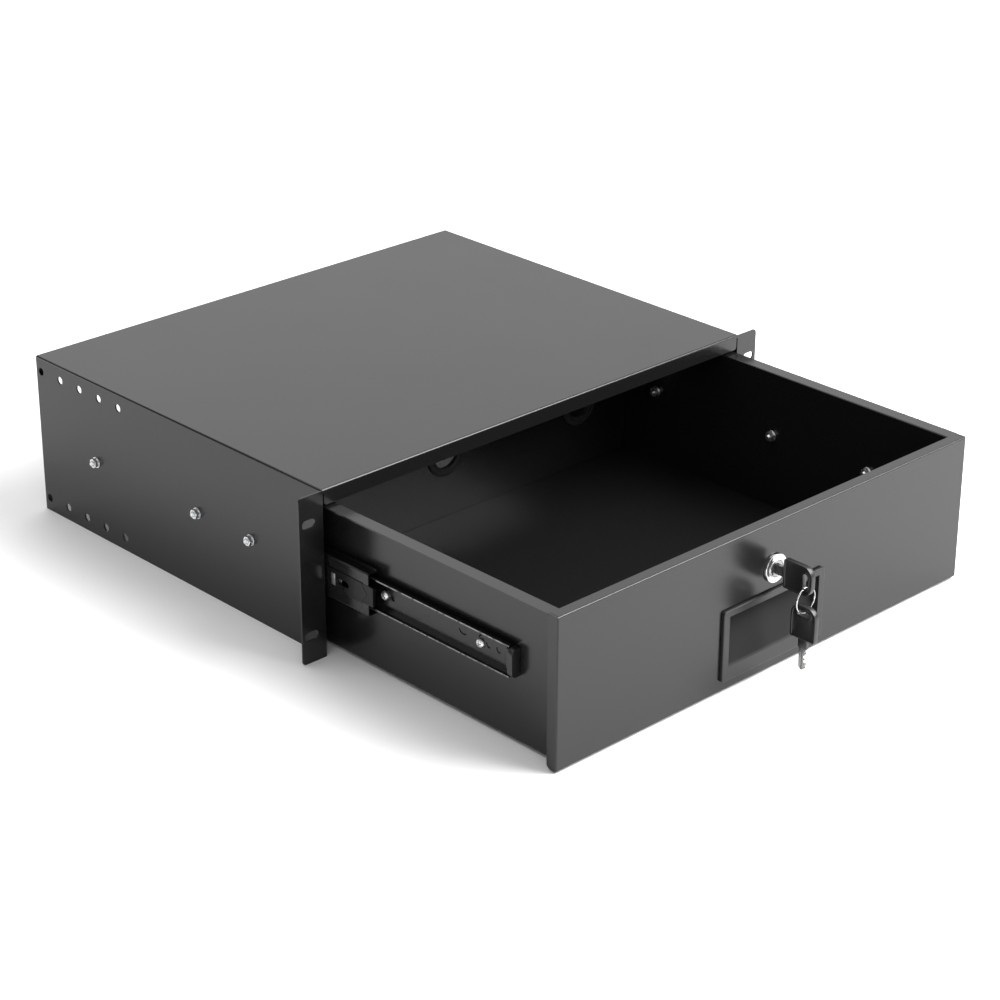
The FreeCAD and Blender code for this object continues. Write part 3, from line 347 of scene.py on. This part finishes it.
# the same, with a thin line of bare steel at the two lips
inner_rail_coat = electro_coat(
    "black_electro_coat_worn_at_the_lips", "111112", 0.22, 1.46, lip_edge=LIP_EDGE)
# a deep, oily black that shows little more than its edges
latch_coat = electro_coat("black_oxide_on_spring_steel", "0c0c0d", 0.3, 1.33)
print("lip edge at", round(LIP_EDGE / MM, 2), "mm")

# %% [markdown]
# ## Moulded plastic and rubber
#
# The key heads and the rail caps are moulded hard and smooth, and the grommets
# are soft rubber with no gloss at all. One recipe serves them, with the grain's
# size, its depth and the roughness as its settings. The pull is ABS from a
# spark-eroded mould, which leaves a fine even grain. Hands polish its frame, and
# its recess stays matt and never mirrors the keys that hang before it, so the
# roughness changes with the depth behind the frame's face.

# %% Plastics
def moulded(name, colour, roughness, grain_mm, depth):
    """Moulded polymer with an even grain of a given size."""
    material = start_material(name)
    place = add_node(material, "TexCoord").outputs["Object"]
    grain = add_node(material, "TexVoronoi", {"Vector": place, "Scale": 1 / (grain_mm * MM)})
    flow = add_node(material, "TexNoise", {"Vector": place, "Scale": 1 / (12 * MM), "Detail": 2.0})
    bump = add_node(material, "Bump", {
        "Height": grain.outputs["Distance"], "Strength": depth, "Distance": 0.05 * MM})
    rough = add_node(material, "MapRange", {
        "Value": flow.outputs[0], "From Min": 0.3, "From Max": 0.7,
        "To Min": roughness - 0.04, "To Max": roughness + 0.04})
    shader = add_node(material, "BsdfPrincipled", {
        "Base Color": linear(colour), "Roughness": rough.outputs[0], "IOR": 1.54,
        "Normal": bump.outputs[0]})
    return close_material(material, shader)


def pull_plastic(face_level):
    """Spark-grained ABS, matt in the recess behind the face's level."""
    material = start_material("spark_grained_abs")
    place = add_node(material, "TexCoord").outputs["Object"]
    depth = add_node(material, "SeparateXYZ", {"Vector": place}).outputs["Y"]
    inside = add_node(material, "MapRange", {
        "Value": depth,
        "From Min": face_level + 0.1 * MM, "From Max": face_level + 0.8 * MM}).outputs[0]
    grain = add_node(material, "TexVoronoi", {"Vector": place, "Scale": 1 / (0.5 * MM)})
    bump = add_node(material, "Bump", {
        "Height": grain.outputs["Distance"], "Strength": 0.25, "Distance": 0.05 * MM})
    rough = add_node(material, "MapRange", {"Value": inside, "To Min": 0.36, "To Max": 0.95})
    shader = add_node(material, "BsdfPrincipled", {
        "Base Color": linear("0e0e0f"), "Roughness": rough.outputs[0], "IOR": 1.5,
        "Normal": bump.outputs[0]})
    return close_material(material, shader)


PULL_FACE = -236.5 * MM
# a grained frame with a dull sheen round a recess that only scatters light
pull_abs = pull_plastic(PULL_FACE)
# a smooth black with wide highlights along the rounded rim
key_abs = moulded("smooth_moulded_abs", "0b0b0c", 0.38, 0.35, 0.15)
# the blackest thing on the slide, with hardly a highlight
cap_nylon = moulded("moulded_nylon", "070707", 0.42, 0.4, 0.15)
# a dull grey-black ring that looks soft beside the painted steel
grommet_rubber = moulded("moulded_rubber", "131313", 0.6, 0.4, 0.3)
print("materials:", len(bpy.data.materials))

# %% [markdown]
# ## Giving the CAD nodes their finish
#
# The nodes that keep their CAD shape only need a material in their slot. The
# others get one too, so that a plain solid is never left grey if a lesson stops
# half way. A dictionary from node name to material shows at a glance what each
# piece is made of.

# %% Finishes by node
FINISHES = {
    "case_shell": case_coat, "lock_strike": case_coat,
    "drawer_box": drawer_coat, "drawer_back": drawer_coat, "drawer_front": drawer_coat,
    "pull_handle": pull_abs, "cable_grommets": grommet_rubber,
    "lock_housing": lock_chrome, "lock_nut": zinc_plate, "lock_plug": plug_metal,
    "lock_cam": zinc_plate, "cam_screw": zinc_plate,
    "key_bow": key_abs, "key_blade": key_metal, "key_ring": ring_steel,
    "spare_key_bow": key_abs, "spare_key_blade": key_metal,
}
for side in ("left", "right"):
    for part in ("outer_rail", "middle_rail"):
        FINISHES[side + "_" + part] = rail_coat
    FINISHES[side + "_inner_rail"] = inner_rail_coat
    for part in ("case_screws", "case_nuts", "drawer_screws", "drawer_nuts"):
        FINISHES[side + "_" + part] = zinc_plate
    FINISHES[side + "_slide_catch"] = latch_coat
    FINISHES[side + "_rail_cap"] = cap_nylon
    for race in ("outer", "inner"):
        FINISHES[side + "_" + race + "_cage"] = cage_steel
        FINISHES[side + "_" + race + "_balls"] = ball_steel
for name, material in FINISHES.items():
    node_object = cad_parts[name]
    node_object.data.materials.clear()
    node_object.data.materials.append(material)
print("finished nodes:", len(FINISHES), "of", len(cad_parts))

# %% [markdown]
# ## Soft edges on the sheet metal
#
# A CAD edge has no width, and no real edge is like that: a sheared edge under
# powder coat is rounded by about a third of a millimetre, and that sliver is
# what catches the light along every fold and hole. The CAD mesh arrives as loose
# triangles, so a Weld joins them, a planar Decimate turns each flat back into
# one face, and a Bevel then rounds only the true edges. The drawer's front keeps
# its CAD shape: its bends are round already, and a bevel would turn over the
# long, narrow faces of its top fold.

# %% Edge rounding
def soften_edges(name, width):
    """Round the sharp edges of a CAD node with live modifiers."""
    node_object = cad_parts[name]
    weld = node_object.modifiers.new("weld", "WELD")
    weld.merge_threshold = 0.004 * MM
    flats = node_object.modifiers.new("flats", "DECIMATE")
    flats.decimate_type = "DISSOLVE"
    flats.angle_limit = math.radians(0.5)
    bevel = node_object.modifiers.new("bevel", "BEVEL")
    bevel.width = width
    bevel.segments = 2
    bevel.limit_method = "ANGLE"
    bevel.angle_limit = math.radians(40)
    bevel.harden_normals = True


for name in ("case_shell", "drawer_box", "drawer_back", "lock_strike", "lock_cam"):
    soften_edges(name, 0.3 * MM)
soften_edges("pull_handle", 0.25 * MM)
for side in ("left", "right"):
    for part, width in (
            ("outer_rail", 0.25), ("middle_rail", 0.4), ("inner_rail", 0.4), ("slide_catch", 0.14),
            ("rail_cap", 0.5)):
        soften_edges(side + "_" + part, width * MM)

# %% [markdown]
# ## A lathe, a milling cutter and a punch
#
# Screws, nuts, the lock and the grommets are turned parts, and the spin operator
# is Blender's lathe: it swings a half profile once round an axis. A hexagon nut
# is a turned blank with six flats milled on it, which leaves the curved line
# where each flat meets the chamfer. Bisecting with a plane and filling the cut
# does the same. Recesses are pressed in: the face is cut along the punch's
# outline, and what lies inside is extruded down. The extrude operator removes
# the faces that it started from only when their edges are handed over with them,
# so the helper that sinks faces does both.

# %% Workshop tools
def turned(profile, steps=36):
    """A shape turned round Z from radius and height pairs in millimetres."""
    shape = bmesh.new()
    points = [shape.verts.new((radius * MM, 0, height * MM)) for radius, height in profile]
    lines = [shape.edges.new(pair) for pair in zip(points, points[1:])]
    bmesh.ops.spin(
        shape, geom=points + lines, cent=(0, 0, 0), axis=(0, 0, 1), angle=math.tau,
        steps=steps, use_merge=True)
    bmesh.ops.remove_doubles(shape, verts=shape.verts, dist=0.002 * MM)
    bmesh.ops.recalc_face_normals(shape, faces=shape.faces)
    return shape


def cut_by_plane(shape, point, normal, clear_outer=False):
    """Cut every face along a plane given in millimetres."""
    everything = shape.verts[:] + shape.edges[:] + shape.faces[:]
    bmesh.ops.bisect_plane(
        shape, geom=everything, dist=0.0001 * MM, plane_co=point * MM, plane_no=normal,
        clear_outer=clear_outer)


def mill_flats(shape, width, count):
    """Mill flats round Z, a given width apart, and close the cuts."""
    for step in range(count):
        turn = math.tau * step / count
        way = Vector((math.cos(turn), math.sin(turn), 0))
        cut_by_plane(shape, way * width / 2, way, clear_outer=True)
        bmesh.ops.holes_fill(shape, edges=[edge for edge in shape.edges if edge.is_boundary])
    bmesh.ops.recalc_face_normals(shape, faces=shape.faces)


def sink(shape, faces, depth, taper=1.0):
    """Press faces down along Z and close the walls round them."""
    edges = dict.fromkeys(edge for face in faces for edge in face.edges)
    region = list(faces) + list(edges)
    moved = bmesh.ops.extrude_face_region(shape, geom=region)["geom"]
    corners = [item for item in moved if isinstance(item, bmesh.types.BMVert)]
    bmesh.ops.translate(shape, verts=corners, vec=(0, 0, -depth * MM))
    bmesh.ops.scale(shape, verts=corners, vec=(taper, taper, 1))


def punch(shape, halves, depth, taper, above):
    """Press rectangles, given by their half sizes, into the top of a shape."""
    for half_x, half_y in halves:
        for sign in (-1, 1):
            cut_by_plane(shape, Vector((sign * half_x, 0, 0)), Vector((1, 0, 0)))
            cut_by_plane(shape, Vector((0, sign * half_y, 0)), Vector((0, 1, 0)))
    pressed = []
    for face in shape.faces:
        centre = face.calc_center_median() / MM
        inside = any(
            abs(centre.x) < half_x and abs(centre.y) < half_y for half_x, half_y in halves)
        if inside and centre.z > above and face.normal.z > 0.2:
            pressed.append(face)
    sink(shape, pressed, depth, taper)


# %% [markdown]
# ## From shape to piece
#
# A finished shape becomes a mesh whose place is in its own vertices, rides on a
# body of the frame and takes the place of the plain CAD solid. The same nut
# sits on every screw, so one shape is copied to several places first. Shading
# is smooth except across real corners, found by their angle.

# %% Placing and finishing
def facing(point, direction, turn=0.0):
    """A place in millimetres whose +Z looks along a direction, turned about it."""
    aim = Vector(direction).to_track_quat("Z", "Y").to_matrix().to_4x4()
    return Matrix.Translation(Vector(point) * MM) @ aim @ Matrix.Rotation(turn, 4, "Z")


def gathered(shapes_and_places):
    """Copies of several shapes at their places, as one shape."""
    whole = bmesh.new()
    for shape, places in shapes_and_places:
        pattern = bpy.data.meshes.new("pattern")
        shape.to_mesh(pattern)
        shape.free()
        for place in places:
            copy = pattern.copy()
            copy.transform(place)
            whole.from_mesh(copy)
            bpy.data.meshes.remove(copy)
        bpy.data.meshes.remove(pattern)
    return whole


def make_piece(name, shape, material, body, *replaced):
    """A shape as a piece that rides on a body and stands for CAD nodes."""
    mesh = bpy.data.meshes.new(name)
    open_edges = sum(not edge.is_manifold for edge in shape.edges)
    shape.to_mesh(mesh)
    shape.free()
    mesh.shade_smooth()
    mesh.set_sharp_from_angle(angle=math.radians(32))
    mesh.materials.append(material)
    piece = bpy.data.objects.new(name, mesh)
    bpy.context.scene.collection.objects.link(piece)
    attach(piece, body)
    if replaced:
        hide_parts(*replaced)
    print("%s: %d faces, %d open edges" % (name, len(mesh.polygons), open_edges))
    return piece


# %% [markdown]
# ## Nuts, washers and screws
#
# Six M4 screws hold each slide: three countersunk ones through the case, whose
# nuts show on its outside, and three pan heads through the drawer's wall. The
# thread could be a helix, but its ridges are made as rings a pitch apart, which
# nobody can tell from one at this size and which the lathe turns with the rest.
# The nuts and the cross recesses stand at different angles, as a wrench and a
# screwdriver leave them.

# %% Fasteners of the slides
CASE_ROW = (83.0, 147.0, 275.0)
DRAWER_ROW = (-151.2, -52.7, 74.8)
ROW_HEIGHT = -1.0
# millimetres from the middle plane, where washers and heads sit
CASE_OUTSIDE = 220.2
OUTER_WEB_INSIDE = 217.8
INNER_WEB_OUTSIDE = 207.3
DRAWER_INSIDE = 205.1


def thread(radius, start, end, pitch=0.7):
    """Profile points down a thread: root, crest, root and so on."""
    turns = round((start - end) / pitch)
    points = []
    for step in range(turns):
        low = start - step * pitch
        points += [(radius * 0.83, low), (radius, low - pitch / 2)]
    return points + [(radius * 0.83, start - turns * pitch)]


def cross_recess(shape, width, reach, depth, above):
    """Two crossed slots pressed into a screw head, with tapering walls."""
    punch(shape, [(width / 2, reach), (reach, width / 2)], depth, 0.55, above)


def nut_and_washer(places):
    """A washer and a chamfered hexagon nut at each place."""
    washer = turned([
        (2.15, 0), (4.35, 0), (4.5, 0.15), (4.5, 0.65), (4.35, 0.8), (2.15, 0.8), (2.15, 0)])
    nut = turned([
        (2.4, 0.8), (3.5, 0.8), (4.04, 1.15), (4.04, 3.65), (3.5, 4.0), (2.4, 4.0), (2.05, 3.7),
        (2.05, 1.1), (2.4, 0.8)])
    mill_flats(nut, 7.0, 6)
    return gathered([(washer, places), (nut, places)])


def countersunk_screw():
    """A screw with a flat countersunk head, its top at height 0."""
    screw = turned(
        [(0, 0), (3.7, 0), (3.9, -0.12), (2.0, -1.2), (2.0, -6.0)]
        + thread(2.0, -6.1, -7.5) + [(1.3, -8.2), (0, -8.2)])
    cross_recess(screw, 0.9, 2.1, 1.0, -0.1)
    return screw


def pan_head_screw():
    """A screw with a domed head that sits on height 0."""
    screw = turned(
        [(0, 2.4), (1.5, 2.34), (2.6, 2.05), (3.3, 1.45), (3.65, 0.7), (3.7, 0.25), (3.6, 0)]
        + [(2.0, 0), (2.0, -5.8)] + thread(2.0, -5.9, -7.3) + [(1.25, -8.0), (0, -8.0)])
    cross_recess(screw, 1.0, 2.2, 1.4, 1.6)
    return screw


def row(distance, stations, direction, turn):
    """Places along Y at the slides' height, each turned by another angle."""
    return [facing((distance, y, ROW_HEIGHT), direction, turn + y) for y in stations]


for side, sign in (("left", -1), ("right", 1)):
    out, back = (sign, 0, 0), (-sign, 0, 0)
    seats = row(sign * CASE_OUTSIDE, CASE_ROW, out, 0.4)
    make_piece(
        side + "_case_nuts_m4", nut_and_washer(seats), zinc_plate,
        "outer_case", side + "_case_nuts")
    seats = row(sign * DRAWER_INSIDE, DRAWER_ROW, back, 0.2)
    make_piece(
        side + "_drawer_nuts_m4", nut_and_washer(seats), zinc_plate,
        "drawer", side + "_drawer_nuts")
    heads = row(sign * OUTER_WEB_INSIDE, CASE_ROW, back, 0.3)
    make_piece(
        side + "_case_screws_m4", gathered([(countersunk_screw(), heads)]), zinc_plate,
        "outer_case", side + "_case_screws")
    heads = row(sign * INNER_WEB_OUTSIDE, DRAWER_ROW, out, 0.5)
    make_piece(
        side + "_drawer_screws_m4", gathered([(pan_head_screw(), heads)]), zinc_plate,
        "drawer", side + "_drawer_screws")

# %% [markdown]
# ## The cam lock
#
# A cam lock is a chromed die casting: a bezel in front of a threaded barrel with
# two flats, so that it can't turn in its hole. The bezel is a thin flange on a
# narrower shoulder, and a raised ring inside it guards the plug, so the eye sees
# a broad white ring, a step, and a thin dark line round the whole, and knows it
# for chrome. The plug carries the keyway in front and a square tail with the cam
# behind. All of them are lathe work: a profile, a spin, and flats where needed.

# %% Lock housing and nut
LOCK = (0, -234.0, 16.05)
CAM_REAR = -212.1
FRONT = (0, -1, 0)
REAR = (0, 1, 0)
BARREL_FLATS = 16.0
NUT_FLATS = 24.0
PLUG_TAIL = (7.0, 1.5)  # width and height of the square tail
here = [facing(LOCK, FRONT)]
bezel = turned([
    (6.46, 2.6), (6.6, 2.95), (6.8, 3.0), (7.2, 2.9), (7.4, 2.5), (7.45, 2.2),
    (10.5, 2.2), (10.85, 2.05), (11.0, 1.7), (10.9, 1.3), (10.2, 1.1), (10.2, 0),
    (8.9, 0), (8.9, 0.4), (6.46, 0.4), (6.46, 2.6)], steps=64)
barrel = turned(
    [(6.46, 0.2), (9.0, 0.2)] + thread(9.0, 0.1, -18.9, pitch=1.0)
    + [(8.2, -19.9), (6.46, -20), (6.46, 0.2)], steps=48)
mill_flats(barrel, BARREL_FLATS, 2)
make_piece(
    "lock_bezel_and_barrel", gathered([(bezel, here), (barrel, here)]), lock_chrome,
    "drawer", "lock_housing")

lock_nut = turned([
    (9.4, -1.2), (12.4, -1.2), (13.86, -1.9), (13.86, -4.1), (12.4, -4.7), (9.4, -4.7),
    (9.08, -4.4), (9.08, -1.5), (9.4, -1.2)], steps=48)
mill_flats(lock_nut, NUT_FLATS, 6)
make_piece("lock_nut_m18", gathered([(lock_nut, here)]), zinc_plate, "drawer", "lock_nut")

# %% [markdown]
# ## The plug and the screw behind it
#
# The plug is turned with its face, and the keyway is pressed in deep with
# straight walls, so it stays dark inside. Its square tail, which carries the cam
# round, is a cube pressed flat. The screw that holds the cam is one more turned
# head with a cross in it, and it looks to the rear.

# %% Plug and cam screw
plug = turned([
    (0, 3.0), (3.1, 3.0), (5.5, 3.0), (6.1, 2.85), (6.38, 2.4), (6.38, -20.3), (0, -20.3)],
    steps=48)
punch(plug, [(1.2, 4.2)], 17.0, 1.0, 2.9)
tail = bmesh.new()
bmesh.ops.create_cube(tail, size=PLUG_TAIL[0] * MM)
bmesh.ops.scale(tail, verts=tail.verts, vec=(1, 1, PLUG_TAIL[1] / PLUG_TAIL[0]))
bmesh.ops.translate(tail, verts=tail.verts, vec=(0, 0, -21.04 * MM))
make_piece(
    "lock_plug_with_keyway", gathered([(plug, here), (tail, here)]), plug_metal,
    "turning_plug", "lock_plug")

cam_head = turned([
    (0, 2.2), (2.4, 2.1), (3.7, 1.7), (4.4, 0.9), (4.5, 0.3), (4.4, 0), (1.5, 0), (1.5, -4.5),
    (0, -4.5)])
cross_recess(cam_head, 1.1, 2.4, 1.3, 1.5)
cam_seat = [facing((0, CAM_REAR, LOCK[2]), REAR, 0.7)]
make_piece(
    "cam_screw_m3", gathered([(cam_head, cam_seat)]), zinc_plate,
    "turning_plug", "cam_screw")

# %% [markdown]
# ## The keys
#
# A key is a stamped strip of nickel-plated brass with a plastic head moulded
# over its end. The head starts as a flat outline with a slot in it. Its two far
# corners are wide arcs, made by bevelling corners instead of edges. After it is
# extruded, one inset marks a rim round the edge and round the slot, and a second
# one sinks the field inside it. The plastic ends in a short square collar round
# the strip. Last, the sharp edges get a small bevel, as a mould has.

# %% Key heads
HEAD_SIZE = (26, 22.5)
HEAD_THICKNESS = 4
SLOT_RADIUS = 2.25
SLOT_REACH = 3.75
COLLAR_SIZE = (7.2, 7.6, 2.7)


def key_head():
    """A plastic key head about the middle of its slot, lying in the XY plane."""
    shape = bmesh.new()
    bmesh.ops.create_grid(shape, x_segments=1, y_segments=1, size=0.5 * MM)
    bmesh.ops.scale(shape, verts=shape.verts, vec=(*HEAD_SIZE, 1))
    bmesh.ops.translate(shape, verts=shape.verts, vec=(7 * MM, 0, -2 * MM))
    for low, high, radius, segments in ((-7, -5, 8, 10), (19, 21, 1.5, 4)):
        corners = [vert for vert in shape.verts if low * MM < vert.co.x < high * MM]
        bmesh.ops.bevel(
            shape, geom=corners, offset=radius * MM, offset_type="OFFSET", segments=segments,
            profile=0.5, affect="VERTICES", material=-1)
    slot = bmesh.ops.create_circle(shape, segments=24, radius=SLOT_RADIUS * MM)["verts"]
    half_step = Matrix.Rotation(math.radians(7.5), 3, "Z")
    bmesh.ops.rotate(shape, verts=slot, cent=(0, 0, 0), matrix=half_step)
    for vert in slot:
        vert.co.y += math.copysign(SLOT_REACH * MM, vert.co.y)
        vert.co.z = -2 * MM
    bmesh.ops.delete(shape, geom=shape.faces[:], context="FACES_ONLY")
    bmesh.ops.triangle_fill(shape, edges=shape.edges[:], use_beauty=True)
    moved = bmesh.ops.extrude_face_region(shape, geom=shape.faces[:])["geom"]
    upper = [item for item in moved if isinstance(item, bmesh.types.BMVert)]
    bmesh.ops.translate(shape, verts=upper, vec=(0, 0, HEAD_THICKNESS * MM))
    bmesh.ops.recalc_face_normals(shape, faces=shape.faces)
    for way in (1, -1):
        field = [face for face in shape.faces if face.normal.z * way > 0.9]
        for thickness, depth in ((1.1, 0.0), (0.25, -0.5)):
            bmesh.ops.inset_region(
                shape, faces=field, thickness=thickness * MM, depth=depth * MM, use_boundary=True,
                use_even_offset=True)
    collar = bmesh.ops.create_cube(shape, size=1 * MM)["verts"]
    bmesh.ops.scale(shape, verts=collar, vec=COLLAR_SIZE)
    bmesh.ops.translate(shape, verts=collar, vec=(23.5 * MM, 0, 0))
    corner = math.radians(48)
    sharp = [edge for edge in shape.edges if edge.is_manifold and edge.calc_face_angle() > corner]
    bmesh.ops.bevel(
        shape, geom=sharp, offset=0.28 * MM, offset_type="OFFSET", segments=2, profile=0.5,
        affect="EDGES", clamp_overlap=True, material=-1)
    return shape


# %% [markdown]
# ## The cut strips
#
# The strip starts as a grid with one row of faces and many columns. Pushing up
# vertices of its lower edge, two at a time, leaves the flat-bottomed cuts of a
# real key, and the last columns narrow to the tip. After it is extruded to its
# thickness, two planes cut each side along it, and the band between them is sunk
# to make the groove that the lock's wards slide in.

# %% Key strips
STRIP_SIZE = (24.9, 8)
STRIP_THICKNESS = 2
CUTS = (0.0, 0.0, 0.9, 0.9, 0.3, 0.3, 1.7, 1.7, 0.6, 0.6, 1.3, 1.3, 0.2, 0.2)
CUTS_START = 27.4
CUT_STEP = 0.83  # the length of one column of the grid
TIP_START = 15.5


def key_strip():
    """A cut and grooved strip that runs along +X from the key's head."""
    shape = bmesh.new()
    bmesh.ops.create_grid(shape, x_segments=30, y_segments=1, size=0.5 * MM)
    bmesh.ops.scale(shape, verts=shape.verts, vec=(*STRIP_SIZE, 1))
    bmesh.ops.translate(shape, verts=shape.verts, vec=(31.95 * MM, 0, -1 * MM))
    for vert in shape.verts:
        past = vert.co.x / MM - CUTS_START
        vert.co.y *= 0.75
        if past > 0.2 and vert.co.y < 0:
            vert.co.y += CUTS[int(past / CUT_STEP) % len(CUTS)] * MM
        if past > TIP_START:
            vert.co.y *= 1 - (past - TIP_START) * 0.5
    moved = bmesh.ops.extrude_face_region(shape, geom=shape.faces[:])["geom"]
    upper = [item for item in moved if isinstance(item, bmesh.types.BMVert)]
    bmesh.ops.translate(shape, verts=upper, vec=(0, 0, STRIP_THICKNESS * MM))
    bmesh.ops.recalc_face_normals(shape, faces=shape.faces)
    for low, high, way in ((0.5, 1.7, 1), (-0.6, 0.6, -1)):
        for place in (low, high):
            cut_by_plane(shape, Vector((0, place, 0)), Vector((0, 1, 0)))
        groove = []
        for face in shape.faces:
            centre = face.calc_center_median() / MM
            if face.normal.z * way > 0.9 and low < centre.y < high and centre.x > 28:
                groove.append(face)
        sink(shape, groove, 0.6 * way)
    return shape


# %% [markdown]
# ## One key in the lock, one on the ring
#
# Both keys are the same, so head and strip are each made twice and only their
# places differ. A matrix stands the flat key on edge and points its strip to the
# rear, and the spare one is turned once more to hang down from the ring.

# %% Two keys
FLAT_TO_KEY = Matrix(((0, 0, 1, 0), (1, 0, 0, 0), (0, 1, 0, 0), (0, 0, 0, 1)))
KEY_Y = -264.1
SPARE_HEIGHT = -9.5
lock_key_place = Matrix.Translation(Vector((0, KEY_Y, LOCK[2])) * MM) @ FLAT_TO_KEY
hanging = Matrix.Rotation(math.radians(-90), 4, "X")
spare_place = Matrix.Translation(Vector((0, KEY_Y, SPARE_HEIGHT)) * MM) @ hanging @ FLAT_TO_KEY
for prefix, place, body in (
        ("", lock_key_place, "lock_key"), ("spare_", spare_place, "spare_key")):
    make_piece(
        prefix + "key_head", gathered([(key_head(), [place])]), key_abs,
        body, prefix + "key_bow")
    make_piece(
        prefix + "key_strip", gathered([(key_strip(), [place])]), key_metal,
        body, prefix + "key_blade")

# %% [markdown]
# ## The split ring
#
# A split ring is a spring of almost two turns. A torus would miss the line where
# its turns lie together, which is what tells the eye that it is a ring for keys.
# Spin can move its profile along the axis a little at each step, and that turns a
# circle into a coil. The ends are cut square, and one shows at the front.

# %% Split ring
RING_STEPS = 144
RING_TURNS = 1.94
RING_RADIUS = 9.75
WIRE_RADIUS = 0.37
WIRE_STEP = 0.75  # how far the wire moves along the axis
RING_HEIGHT = 1.4
coil = bmesh.new()
wire = bmesh.ops.create_circle(coil, segments=12, radius=WIRE_RADIUS * MM)["verts"]
upright = Matrix.Rotation(math.radians(90), 3, "X")
bmesh.ops.rotate(coil, verts=wire, cent=(0, 0, 0), matrix=upright)
bmesh.ops.translate(coil, verts=wire, vec=(RING_RADIUS * MM, 0, -WIRE_STEP / 2 * MM))
bmesh.ops.spin(
    coil, geom=coil.verts[:] + coil.edges[:], cent=(0, 0, 0), axis=(0, 0, 1),
    angle=math.tau * RING_TURNS, dvec=(0, 0, WIRE_STEP * MM / RING_STEPS), steps=RING_STEPS,
    use_merge=False)
bmesh.ops.holes_fill(coil, edges=[edge for edge in coil.edges if edge.is_boundary])
bmesh.ops.recalc_face_normals(coil, faces=coil.faces)
ring_place = [facing((0, KEY_Y, RING_HEIGHT), FRONT, math.radians(-40))]
make_piece("split_ring_coil", gathered([(coil, ring_place)]), ring_steel, "split_ring", "key_ring")

# %% [markdown]
# ## Cable grommets
#
# Soft rubber rings line the three holes in the back wall. Each has a wide lip
# inside the drawer, with a shallow groove round it, and a smaller lip behind
# that snaps through the hole. One profile on the lathe gives both lips, the
# groove and the neck between them, and three copies share a mesh.

# %% Grommets
BACK_WALL = 111.1
HOLE_HEIGHT = -7.05
grommet = turned([
    (12.5, 1.0), (12.7, 1.45), (13.1, 1.6), (14.2, 1.6), (14.5, 1.15), (16.6, 1.15), (16.9, 1.6),
    (18.7, 1.6), (19.3, 1.3), (19.5, 0.7), (19.5, 0), (16.05, 0), (16.05, -1.2), (18.5, -1.2),
    (18.5, -1.6), (18.1, -2.1), (13, -2.15), (12.6, -1.9), (12.5, 1.0)], steps=72)
wall_holes = [facing((x, BACK_WALL, HOLE_HEIGHT), FRONT) for x in (-150, 0, 150)]
make_piece(
    "rubber_grommets", gathered([(grommet, wall_holes)]), grommet_rubber,
    "drawer", "cable_grommets")

# %% [markdown]
# ## The latch's spring
#
# Through a window in each latch plate shows the bent end of its leaf spring, the
# one bright spot on the black slide. Only that end is ever seen, so it is made
# as a short strip: a cube scaled to size, with every edge bevelled. It rides on
# the middle member, as the plate does.

# %% Leaf springs in the latch plates
LEAF_SIZE = (0.46, 3.9, 9.2)
LEAF_PLACE = (217.27, -7.5, -1.0)
for side, sign in (("left", -1), ("right", 1)):
    leaf = bmesh.new()
    bmesh.ops.create_cube(leaf, size=1 * MM)
    bmesh.ops.scale(leaf, verts=leaf.verts, vec=LEAF_SIZE)
    bmesh.ops.bevel(
        leaf, geom=leaf.edges[:], offset=0.12 * MM, offset_type="OFFSET", segments=2, profile=0.5,
        affect="EDGES", material=-1)
    x, y, z = LEAF_PLACE
    bmesh.ops.translate(leaf, verts=leaf.verts, vec=(sign * x * MM, y * MM, z * MM))
    make_piece(side + "_latch_spring", leaf, zinc_plate, side + "_middle_member")
